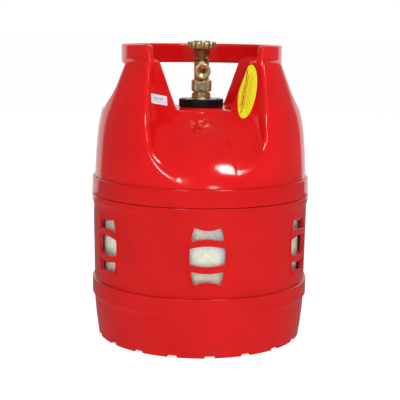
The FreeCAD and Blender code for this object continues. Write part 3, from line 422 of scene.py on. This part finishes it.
class Finish:
    """A material whose nodes are added one at a time by node()."""

    def __init__(self, name):
        self.material = bpy.data.materials.new(name)
        self.material.use_nodes = True
        self.tree = self.material.node_tree
        self.tree.nodes.clear()
        self.place = self.node("TexCoord", output="Object")

    def node(self, kind, settings=(), inputs=(), output=0):
        """Adds a node: its settings first, then its inputs, linked or set."""
        made = self.tree.nodes.new("ShaderNode" + kind)
        for key, value in dict(settings).items():
            setattr(made, key, value)
        for key, value in dict(inputs).items():
            if isinstance(value, Wire):
                self.tree.links.new(value.socket, made.inputs[key])
            else:
                made.inputs[key].default_value = value
        return Wire(self, made.outputs[output])

    def stretched(self, scale, turn=(0.0, 0.0, 0.0)):
        """Object coordinates in millimetres, turned and scaled along each axis."""
        return self.node("Mapping", {}, {"Vector": self.place, "Rotation": turn,
                                         "Scale": tuple(1000.0 * item for item in scale)})

    def noise(self, size, detail=2.0, rough=0.5, turn=(0.0, 0.0, 0.0), **more):
        """Noise whose lumps are that many millimetres across, one size or one an axis."""
        sizes = size if isinstance(size, tuple) else (size,) * 3
        place = self.stretched(tuple(1.0 / item for item in sizes), turn)
        return self.node("TexNoise", more, {"Vector": place, "Scale": 1.0, "Detail": detail,
                                            "Roughness": rough})

    def window(self, value, low, high):
        """0 below low, 1 above high and even between: a mask from a value."""
        return self.node("MapRange", {"interpolation_type": "SMOOTHSTEP"},
                         {"Value": value, "From Min": low, "From Max": high})

    def blend(self, a, b, mask):
        """Colour a turning to colour b where the mask is 1."""
        a, b = [item if isinstance(item, Wire) else (*item, 1.0) for item in (a, b)]
        return self.node("Mix", {"data_type": "RGBA"}, {0: mask, 6: a, 7: b}, output=2)

    def axis(self, index):
        """One object coordinate in millimetres."""
        return self.node("SeparateXYZ", {}, {0: self.place}, output=index) * 1000.0

    def bump(self, height, distance, strength=1.0, under=None):
        """Bump from a height, which is that many millimetres where it is 1."""
        inputs = {"Strength": strength, "Distance": distance * MM, "Height": height}
        if under:
            inputs["Normal"] = under
        return self.node("Bump", {}, inputs)

    def surface(self, colour, roughness, normal=None, **constants):
        """Ends the material with a principled shader."""
        inputs = {"Base Color": colour if isinstance(colour, Wire) else (*colour, 1.0),
                  "Roughness": roughness}
        if normal:
            inputs["Normal"] = normal
        for key, value in constants.items():
            inputs[key.replace("_", " ").title().replace("Ior", "IOR")] = value
        shader = self.node("BsdfPrincipled", {}, inputs)
        self.node_output(shader)
        return self.material

    def node_output(self, shader):
        out = self.tree.nodes.new("ShaderNodeOutputMaterial")
        self.tree.links.new(shader.socket, out.inputs["Surface"])


# ================================================================ finishes
def red_plastic(name, depth=1.0, highlight_attribute=None):
    """Glossy red moulded plastic: cloudy pigment, orange-peel skin, faint flow waves and
    fine scuffs; ridges painted a little paler, a painted highlight, where a highlight attribute is
    given."""
    f = Finish(name)
    cloud = f.noise(60.0, 3.0, 0.55)
    speck = f.noise(0.9, 2.0, 0.6)
    # depth scales the red; the shoulder's copy gets a larger one, which is painted light.
    colour = f.blend((0.70 * depth, 0.0050, 0.0055), (0.77 * depth, 0.0065, 0.0065),
                     f.window(cloud, 0.3, 0.7))
    colour = f.blend(colour, (0.52, 0.004, 0.006), f.window(speck, 0.62, 0.85) * 0.25)
    scratch = f.noise((22.0, 22.0, 0.5), 1.0, 0.5, turn=(0.5, 0.3, 0.0))
    scratch = f.window(scratch, 0.70, 0.76) * f.window(f.noise(45.0, 1.0), 0.52, 0.66)
    colour = f.blend(colour, (0.80, 0.06, 0.05), scratch * 0.15)
    # Darker, rougher patches towards the bottom, below about 34 mm.
    low = 1.0 - f.window(f.axis(2), 2.0, 34.0)
    low_patches = low * f.window(f.noise(14.0, 4.0, 0.65), 0.42, 0.75)
    colour = f.blend(colour, (0.30, 0.01, 0.01), low_patches * 0.25)
    # Painted highlight: convex edges painted a paler red, standing in for light caught on the
    # ridges.
    if highlight_attribute:
        edge = f.node("Attribute", {"attribute_name": highlight_attribute}, output="Fac")
        colour = f.blend(colour, (0.86, 0.022, 0.018), edge * 0.5)
    roughness = 0.11 + 0.05 * f.window(f.noise(35.0, 3.0), 0.3, 0.75) + 0.15 * scratch
    roughness = roughness + 0.12 * low_patches
    peel = f.noise(1.6, 2.0, 0.5)
    flow = f.noise((40.0, 40.0, 22.0), 1.0, 0.4)
    normal = f.bump(flow, 0.35, 0.35)
    normal = f.bump(peel, 0.012, 0.4, normal)
    return f.surface(colour, roughness, normal, specular_ior_level=0.4, coat_weight=0.2,
                     coat_roughness=0.03)


def winding_finish():
    """Resin-rich glass winding: pale green with helical tows crossing both ways, a cloudy
    resin and a hard gloss."""
    f = Finish("glass_winding")
    x, y, z = f.axis(0), f.axis(1), f.axis(2)
    turn = f.node("Math", {"operation": "ARCTAN2"}, {0: y, 1: x}) * 141.5
    tows = []
    for lean in (0.9, -0.9):
        across = turn * math.cos(lean) + z * math.sin(lean)
        along = z * math.cos(lean) - turn * math.sin(lean)
        place = f.node("CombineXYZ", {}, {0: across / 2.6, 1: along / 60.0, 2: lean * 7.0})
        tows.append(f.node("TexNoise", {}, {"Vector": place, "Scale": 1.0, "Detail": 3.0,
                                            "Roughness": 0.6}))
    fibre = tows[0] * 0.5 + tows[1] * 0.5
    resin = f.noise((9.0, 9.0, 16.0), 3.0, 0.6)
    colour = f.blend((0.68, 0.83, 0.62), (0.88, 0.97, 0.84), f.window(fibre, 0.36, 0.62))
    colour = f.blend(colour, (0.93, 0.98, 0.95), f.window(resin, 0.45, 0.70) * 0.7)
    colour = f.blend(colour, (0.55, 0.56, 0.38), f.window(f.noise(26.0, 3.0), 0.60, 0.80) * 0.20)
    normal = f.bump(fibre, 0.30, 0.6)
    return f.surface(colour, 0.26 + 0.2 * resin, normal, coat_weight=0.5, coat_roughness=0.12)


def liner_finish():
    """Milky blow-moulded liner with faint flow bands."""
    f = Finish("liner_plastic")
    bands = f.noise((30.0, 30.0, 5.0), 2.0)
    colour = f.blend((0.62, 0.64, 0.60), (0.78, 0.80, 0.76), f.window(bands, 0.35, 0.65))
    return f.surface(colour, 0.42 + 0.1 * bands, f.bump(f.noise(1.2), 0.03))


def turned_metal(name, dark, light, roughness, pitch):
    """Metal turned on a lathe: fine rings by radius and by height, with dull patches."""
    f = Finish(name)
    x, y, z = f.axis(0), f.axis(1), f.axis(2)
    radius = (x * x + y * y) ** 0.5
    rings = ((radius + z * 0.7) * (2 * math.pi / pitch)).wave() * 0.5 + 0.5
    dull = f.window(f.noise(3.5, 3.0, 0.6), 0.45, 0.7)
    colour = f.blend(light, dark, dull * 0.6)
    colour = f.blend(colour, dark, rings * 0.25)
    return f.surface(colour, roughness + 0.15 * dull, f.bump(rings, 0.02, 0.6), metallic=1.0)


def brass(name, light, dark, stain, roughness, sand):
    """Cast or forged brass: sandy skin, brown tarnish in patches and brighter high spots."""
    f = Finish(name)
    patch = f.window(f.noise(7.0, 4.0, 0.6), 0.40, 0.66)
    grain = f.noise(sand, 2.0, 0.6)
    colour = f.blend(light, dark, patch)
    colour = f.blend(colour, stain, f.window(f.noise(4.5, 3.0, 0.65), 0.56, 0.74) * 0.55)
    colour = f.blend(colour, light, f.window(grain, 0.60, 0.75) * 0.5)
    rough = roughness + 0.16 * patch - 0.06 * f.window(grain, 0.6, 0.75)
    normal = f.bump(grain, 0.10, 0.7)
    return f.surface(colour, rough, normal, metallic=1.0)


def fine_plastic(name, light, dark, roughness, size, depth=0.04, specular=0.5):
    """Moulded plastic or rubber: a spark-eroded grain and slow shading of the pigment."""
    f = Finish(name)
    grain = f.noise(size, 2.0, 0.6)
    slow = f.window(f.noise(12.0, 2.0), 0.35, 0.7)
    colour = f.blend(dark, light, slow)
    colour = f.blend(colour, light, f.window(grain, 0.6, 0.8) * 0.3)
    return f.surface(colour, roughness + 0.12 * slow, f.bump(grain, depth, 0.7),
                     specular_ior_level=specular)


def printed_label(name, paper, ink, rows):
    """Printed film: rows of ink blocks over the label's own map.  Each row is a band along
    the map, broken into blocks of uneven length, standing for lines of print."""
    f = Finish(name)
    uv = f.node("UVMap", {"uv_map": "label"})
    u = f.node("SeparateXYZ", {}, {0: uv}, output=0)
    v = f.node("SeparateXYZ", {}, {0: uv}, output=1)
    inked = None
    for centre, half, start, end, blocks, strength in rows:
        line = ((u - centre).absolute() < half) * (v > start) * (v < end)
        place = f.node("CombineXYZ", {}, {0: v * blocks, 1: centre * 31.0})
        broken = f.node("TexNoise", {}, {"Vector": place, "Scale": 1.0, "Detail": 2.0})
        row = line * f.window(broken, 0.36, 0.42) * strength
        inked = row if inked is None else inked + row
    soft = f.noise(9.0, 2.0)
    colour = f.blend(paper, tuple(item * 0.93 for item in paper), f.window(soft, 0.4, 0.7))
    colour = f.blend(colour, ink, inked)
    return f.surface(colour, 0.34 + 0.08 * soft, f.bump(f.noise(0.7), 0.012), coat_weight=0.2,
                     coat_roughness=0.15)


def barred_label():
    """White film with a row of grey bars of uneven width over a thinner line, both placed
    on the label's own map."""
    f = Finish("white_film")
    uv = f.node("UVMap", {"uv_map": "label"})
    u = f.node("SeparateXYZ", {}, {0: uv}, output=0)
    v = f.node("SeparateXYZ", {}, {0: uv}, output=1)
    stripe = f.node("TexNoise", {}, {"Vector": f.node("CombineXYZ", {}, {0: u * 38.0}),
                                     "Scale": 1.0, "Detail": 3.0})
    bars = f.window(stripe, 0.48, 0.52) * (v > 0.44) * (v < 0.74) * (u > 0.20) * (u < 0.74)
    line = f.window(stripe, 0.44, 0.48) * (v > 0.24) * (v < 0.32) * (u > 0.14) * (u < 0.62)
    soft = f.noise(9.0, 2.0)
    colour = f.blend((0.78, 0.82, 0.88), (0.70, 0.74, 0.82), f.window(soft, 0.4, 0.7))
    colour = f.blend(colour, (0.10, 0.11, 0.14), bars * 0.85 + line * 0.5)
    return f.surface(colour, 0.34 + 0.08 * soft, f.bump(f.noise(0.7), 0.012), coat_weight=0.2,
                     coat_roughness=0.15)


def paper_label():
    """Bluish white paper with faint mottling and two dark blocks, set on the slant of the
    label's own edges."""
    f = Finish("white_paper")
    x, z = f.axis(0) - 28.0, f.axis(2) - 159.0
    along, up = (x - z) * math.sqrt(0.5), (x + z) * math.sqrt(0.5)
    row = ((up - 3.0).absolute() < 1.5) * (along < -3.5) * (along > -20.0)
    row = row * f.window((along * 0.9).wave(), -0.45, -0.40)
    second = ((up + 9.0).absolute() < 0.7) * (along < 12.0) * (along > -18.0)
    soft = f.noise(7.0, 3.0)
    colour = f.blend((0.74, 0.84, 0.86), (0.82, 0.88, 0.88), f.window(soft, 0.4, 0.7))
    colour = f.blend(colour, (0.05, 0.06, 0.07), row * 0.85 + second * 0.25)
    return f.surface(colour, 0.40 + 0.1 * soft, f.bump(f.noise(1.1), 0.02), coat_weight=0.4,
                     coat_roughness=0.15)


# ================================================================ pieces of the casing
def casing_shoulder():
    """The blended shoulder, its legs and ring, with its convex edges marked for a painted
    highlight.
    """
    thing = solid_piece("casing_shoulder", shoulder,
                        (-OUT_R, -OUT_R, SHOULDER_LOW_Z - LOW_END), (OUT_R, OUT_R, HIGH_END),
                        SHOULDER_STEP)
    points = np.zeros(len(thing.data.vertices) * 3)
    thing.data.vertices.foreach_get("co", points)
    points = points.reshape(-1, 3) / MM
    spread = np.zeros(len(points))
    for axis in range(3):
        step = np.zeros(3)
        step[axis] = EDGE_HIGHLIGHT_REACH
        spread += shoulder(points + step) + shoulder(points - step)
    # Attribute for the painted highlight, high on convex edges.
    highlight_attribute = thing.data.attributes.new("painted_edge_highlight", "FLOAT", "POINT")
    highlight_attribute.data.foreach_set("value", np.clip(spread * 0.55 - 0.35, 0, 1).astype(np.float32))
    return thing


def casing_band():
    """Thick band round the foot of the shoulder, a turned section with rounded edges."""
    section = rounded_section([
        (146.6, 224.3, 0), (146.6, 211.4, 0), (148.5, 211.4, 0), (148.5, 201.2, 0.5),
        (152.5, 201.2, 1.3), (151.25, 225.2, 1.5)])
    return turned_piece("casing_band", section, 360)


# ================================================================ pieces of the valve
def valve_forging():
    """The valve forging with its bores."""
    return solid_piece("valve_forging", forging, (-15.0, -26.5, 298.5), (15.0, 15.0, 384.0),
                       FORGING_STEP)


def fluted(angle, radius):
    """Wheel's plan: the rim drops by the scallop times |sin(half the lobes * angle)|^3,
    fading to nothing towards the dish, and the hole is a square with its corners cut."""
    rim = np.clip((radius - 16.6) / 2.0, 0, 1)
    scallop = WHEEL_SCALLOP * np.abs(np.sin(WHEEL_LOBES * angle / 2)) ** 3
    square = SQUARE_HALF / np.maximum(np.abs(np.cos(angle)), np.abs(np.sin(angle)))
    hole = np.minimum(square, SQUARE_HALF * 1.3)
    return np.where(radius < SQUARE_HALF + 0.5, hole, radius - scallop * rim)


def wheel():
    """Cast handwheel: a fluted rim with rounded edges, a dish and a raised boss."""
    section = rounded_section([
        (SQUARE_HALF, 399.5, 0), (7.4, 399.5, 0.6), (8.4, 403.0, 0.8), (15.0, 403.0, 0.8),
        (16.0, 399.4, 0.7), (WHEEL_R, 399.4, 1.9), (WHEEL_R, 409.6, 2.2), (16.0, 409.6, 0.8),
        (15.0, 406.6, 0.8), (12.2, 406.6, 0.6), (11.2, 410.9, 0.7), (8.2, 410.9, 0.6),
        (8.0, 407.4, 0.3), (SQUARE_HALF, 407.4, 0)])
    return turned_piece("wheel", section, 384, fluted)


def coil():
    """Relief spring: a wire along a helix about the relief bore.  Its centre at angle t is
    (R cos t, -start - pitch*t/2pi, z + R sin t), each ring of points is square to the
    helix, and each end is a flat cap of quads."""
    rings, around = int(COIL_TURNS * 28) + 1, 14
    pitch = (COIL_END - COIL_START) / COIL_TURNS
    t = np.linspace(0, 2 * math.pi * COIL_TURNS, rings)[:, None, None]
    a = np.linspace(0, 2 * math.pi, around, endpoint=False)[None, :, None]
    zero = np.zeros_like(t)
    out = np.concatenate([np.cos(t), zero, np.sin(t)], axis=-1)
    along = np.concatenate([-COIL_R * np.sin(t), zero - pitch / (2 * math.pi),
                            COIL_R * np.cos(t)], axis=-1)
    side = np.cross(along / np.linalg.norm(along, axis=-1, keepdims=True), out)
    middle = COIL_R * out + np.concatenate(
        [zero, -COIL_START - pitch * t / (2 * math.pi), zero + RELIEF_Z], axis=-1)
    points = middle + WIRE_R * (np.cos(a) * out + np.sin(a) * side)
    cap = np.array([[i, i + 1, around - 2 - i, around - 1 - i] for i in range(around // 2 - 1)])
    faces = np.concatenate([grid_faces(rings, around, False, True), cap[:, ::-1],
                            cap + (rings - 1) * around])
    return piece("coil", points.reshape(-1, 3), faces)


# ================================================================ labels
def film(name, outline_of, rows, columns, centre, depth, side, tilt, thickness=0.3):
    """Thin film on a leg's front face.  A grid over the label's plane, (u, v) from 0 to 1,
    is laid on the face's plane, and each of its two skins is settled at its own height
    above the moulding.  The edge rows of both skins are joined."""
    lean = math.tan(VALLEY_LEAN)
    bulge = VALLEY_SPREAD / math.cos(VALLEY_LEAN)
    half = bulge * (depth - VALLEY_APEX) + lean * (centre - VALLEY_Z)
    normal = np.array([-side, -bulge, lean]) / math.hypot(1, bulge, lean)
    across = np.cross([0, 0, 1], normal)
    across /= np.linalg.norm(across)
    up = np.cross(normal, across)
    turn = math.radians(tilt)
    flat_u = across * math.cos(turn) + up * math.sin(turn)
    flat_v = up * math.cos(turn) - across * math.sin(turn)
    u, v = np.meshgrid(np.linspace(0, 1, columns), np.linspace(0, 1, rows))
    a, b = outline_of(u.ravel(), v.ravel())
    middle = np.array([side * half, -depth, centre])
    plane = middle + a[:, None] * flat_u + b[:, None] * flat_v
    skins = [settle(casing_top, plane + normal * lift, lift, 0.2, 5)
             for lift in (thickness, 0.05)]
    quads = grid_faces(rows, columns, False, False)
    count = rows * columns
    number = np.arange(count).reshape(rows, columns)
    edge = np.concatenate([number[0, :-1], number[:-1, -1], number[-1, :0:-1], number[:0:-1, 0]])
    after = np.roll(edge, -1)
    rim = np.stack([after, edge, edge + count, after + count], axis=1)
    faces = np.concatenate([quads, quads[:, ::-1] + count, rim])
    thing = piece(name, np.concatenate(skins), faces)
    uv = thing.data.uv_layers.new(name="label")
    wide = a / (a.max() - a.min()) + 0.5
    tall = b / (b.max() - b.min()) + 0.5
    flat = np.tile(np.stack([wide, tall], axis=1), (2, 1))
    loops = np.zeros(len(thing.data.loops), int)
    thing.data.loops.foreach_get("vertex_index", loops)
    uv.data.foreach_set("uv", flat[loops].ravel())
    return thing


def oval(width, length):
    """Maps a square grid on an ellipse by x*sqrt(1 - y*y/2) and y*sqrt(1 - x*x/2), which
    take the square's edge to the ellipse."""
    def lay(u, v):
        x, y = 2 * u - 1, 2 * v - 1
        near = x * np.sqrt(1 - y * y / 2)
        far = y * np.sqrt(1 - x * x / 2)
        return near * width / 2, far * length / 2
    return lay


def oblong(width, length, corner):
    """Maps a square grid on a rectangle whose corners are pulled in to a rounding."""
    def lay(u, v):
        a, b = (u - 0.5) * width, (v - 0.5) * length
        over_a = np.maximum(np.abs(a) - width / 2 + corner, 0)
        over_b = np.maximum(np.abs(b) - length / 2 + corner, 0)
        reach = np.maximum(np.hypot(over_a, over_b) / corner, 1)
        far = np.maximum(over_a, over_b) > 0
        a = np.where(far, a - np.sign(a) * over_a * (1 - 1 / reach), a)
        b = np.where(far, b - np.sign(b) * over_b * (1 - 1 / reach), b)
        return a, b
    return lay


# ================================================================ making them
# Two copies of one red plastic. The shoulder's copy is painted lighter (0.92 against 0.80):
# painted light standing in for the stronger light from above on the dome and shoulder. It also
# carries the painted edge highlight. The lower casing and the band take the darker copy.
red = red_plastic("red_plastic", 0.80)
red_painted_lighter = red_plastic("red_plastic_shoulder", 0.92, "painted_edge_highlight")
old_brass = brass("valve_brass", (0.86, 0.72, 0.38), (0.50, 0.38, 0.17), (0.32, 0.18, 0.09),
                  0.34, 0.55)
wheel_brass = brass("wheel_brass", (0.84, 0.67, 0.34), (0.50, 0.37, 0.17), (0.32, 0.19, 0.09),
                    0.38, 0.8)

shoulder_top = casing_shoulder()
band = casing_band()
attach(shoulder_top, "tank")
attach(band, "tank")
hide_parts("upper_casing")
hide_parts("upper_casing")
valve = valve_forging()
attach(valve, "tank")
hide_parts("valve_body")
hand_wheel = wheel()
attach(hand_wheel, "handwheel_and_stem")
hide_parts("handwheel")
spring = coil()
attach(spring, "tank")
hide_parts("relief_spring")
warning_oval = film("leg_label", oval(31.5, 72.0), 41, 25, 345.2, 74.6, 1, 0.0)
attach(warning_oval, "tank")
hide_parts("safety_label")
warning_oval.visible_glossy = False
bar_label = film("bar_label", oblong(34.0, 12.7, 1.0), 17, 41, 334.7, 84.0, -1, -9.5)
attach(bar_label, "tank")
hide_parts("barcode_label")

yellow = printed_label("yellow_film", (0.87, 0.87, 0.02), (0.62, 0.10, 0.015), OVAL_ROWS)
white = barred_label()
paper = paper_label()
spring_steel = turned_metal("spring_steel", (0.35, 0.35, 0.36), (0.65, 0.65, 0.67), 0.28, 0.3)

for thing, slot, finish in ((shoulder_top, "casing_red", red_painted_lighter), (band, "casing_red", red),
                            (valve, "valve_brass", old_brass),
                            (hand_wheel, "wheel_brass", wheel_brass),
                            (warning_oval, "label_yellow", yellow),
                            (bar_label, "label_white", white),
                            (spring, "spring_steel", spring_steel)):
    thing.data.materials.append(finish)
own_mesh(spring)

cad_finishes = {
    "lower_casing": red,
    "composite_shell": winding_finish(),
    "inner_liner": liner_finish(),
    "neck_boss": turned_metal("boss_metal", (0.42, 0.42, 0.40), (0.72, 0.72, 0.68), 0.32, 0.6),
    "neck_flange": fine_plastic("black_plastic", (0.007, 0.009, 0.008), (0.003, 0.004, 0.004),
                                0.38, 0.8, specular=0.25),
    "valve_bonnet": brass("bonnet_brass", (0.55, 0.37, 0.14), (0.33, 0.20, 0.07),
                          (0.24, 0.09, 0.04), 0.30, 0.7),
    "lock_pins": turned_metal("bright_brass", (0.60, 0.44, 0.16), (0.95, 0.78, 0.38), 0.20, 0.5),
    "relief_dust_cap": fine_plastic("cap_grey", (0.34, 0.36, 0.38), (0.22, 0.24, 0.26), 0.42,
                                    0.6),
}
bright = cad_finishes["lock_pins"]
rubber = fine_plastic("seal_rubber", (0.030, 0.022, 0.020), (0.015, 0.012, 0.012), 0.55, 0.7)
polymer = fine_plastic("seat_polymer", (0.70, 0.68, 0.62), (0.55, 0.53, 0.48), 0.45, 0.6)
stem = turned_metal("stem_brass", (0.45, 0.31, 0.11), (0.72, 0.55, 0.24), 0.26, 0.4)
cad_finishes.update({
    "relief_plug": old_brass, "handwheel_washer": stem, "handwheel_nut": stem,
    "spindle_upper": stem, "spindle_lower": stem, "seat_holder": stem, "relief_poppet": bright,
    "seat_disc": polymer, "relief_seal": rubber, "bonnet_seal": rubber, "gland_seal": rubber,
    "boss_o_ring": rubber, "winding_label": paper})
for name, finish in cad_finishes.items():
    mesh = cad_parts[name].data
    mesh.materials.clear()
    mesh.materials.append(finish)


# ================================================================ stage
def floor():
    """Pale floor: rings of points on a disc, each ring further out by the same share."""
    angle = np.linspace(0, 2 * math.pi, 48, endpoint=False)
    reach = np.geomspace(0.02, 60.0, 14)[:, None]
    points = np.stack([reach * np.cos(angle), reach * np.sin(angle),
                       np.zeros((14, 48))], axis=-1).reshape(-1, 3)
    faces = np.concatenate([grid_faces(14, 48, False, True)[:, ::-1],
                            np.array([[i, i + 1, 46 - i, 47 - i] for i in range(23)])])
    thing = piece("floor", points / MM, faces)
    f = Finish("floor_paint")
    soft = f.noise(400.0, 2.0)
    thing.data.materials.append(f.surface(
        f.blend((0.80, 0.80, 0.80), (0.84, 0.84, 0.84), soft), 0.75 + 0.05 * soft,
        emission_color=(1.0, 1.0, 1.0, 1.0), emission_strength=0.72))
    thing.visible_glossy = False


def softbox(name, place, target, width, height, power):
    """Rectangular area light at a place, aimed at a target."""
    light = bpy.data.lights.new(name, "AREA")
    light.shape = "RECTANGLE"
    light.size = width
    light.size_y = height
    light.energy = power
    thing = bpy.data.objects.new(name, light)
    bpy.context.scene.collection.objects.link(thing)
    away = np.array(place) - np.array(target)
    yaw = math.atan2(away[0], -away[1])
    thing.location = place
    thing.rotation_euler = (math.atan2(math.hypot(away[0], away[1]), away[2]), 0, yaw)
    return thing


def overhead():
    """Wide soft sun from straight above, which leaves no reflection."""
    light = bpy.data.lights.new("overhead", "SUN")
    light.energy = 0.5
    light.angle = math.radians(60)
    thing = bpy.data.objects.new("overhead", light)
    thing.visible_glossy = False
    bpy.context.scene.collection.objects.link(thing)


def surroundings(lighting, seen):
    """White world: one strength for the light it gives, another where the camera sees it."""
    world = bpy.data.worlds.new("world")
    world.use_nodes = True
    sky = world.node_tree.nodes["Background"]
    sky.inputs["Color"].default_value = (1.0, 1.0, 1.0, 1.0)
    ray = world.node_tree.nodes.new("ShaderNodeLightPath")
    level = world.node_tree.nodes.new("ShaderNodeMapRange")
    level.inputs["To Min"].default_value = lighting
    level.inputs["To Max"].default_value = seen
    world.node_tree.links.new(ray.outputs["Is Camera Ray"], level.inputs["Value"])
    world.node_tree.links.new(level.outputs[0], sky.inputs["Strength"])
    bpy.context.scene.world = world


def camera():
    """Camera in front, a little to the left of square on and looking slightly down."""
    lens = bpy.data.cameras.new("camera")
    lens.lens = 91.4
    lens.sensor_width = 36.0
    thing = bpy.data.objects.new("camera", lens)
    bpy.context.scene.collection.objects.link(thing)
    yaw, pitch, roll, distance = math.radians(-4.0), math.radians(9.42), math.radians(0.65), 1.423
    thing.location = (distance * math.sin(yaw), -distance * math.cos(yaw), 0.4234)
    turn = (Matrix.Rotation(yaw, 3, "Z") @ Matrix.Rotation(math.pi / 2 - pitch, 3, "X")
            @ Matrix.Rotation(roll, 3, "Z"))
    thing.rotation_euler = turn.to_euler()
    bpy.context.scene.camera = thing


floor()
softbox("right_box", (0.67, -1.14, 1.85), (0.03, -0.14, 0.25), 0.42, 0.5, 18)
softbox("low_box", (0.31, -1.92, 0.82), (0, -0.14, 0.23), 0.22, 0.1, 1.6)
softbox("left_box", (-0.75, -1.65, 1.2), (0, -0.14, 0.23), 0.42, 0.34, 9)
softbox("front_fill", (-0.1, -2.3, 0.7), (0, 0, 0.2), 1.4, 1.4, 2).visible_glossy = False
back_wall = softbox("back_wall", (0, 2.2, 0.9), (0, 0, 0.4), 4.5, 2.4, 24)
back_wall.visible_camera = False
back_wall.visible_diffuse = False
overhead()
camera()
surroundings(0.17, 1.0)
bpy.context.scene.view_settings.view_transform = "Standard"
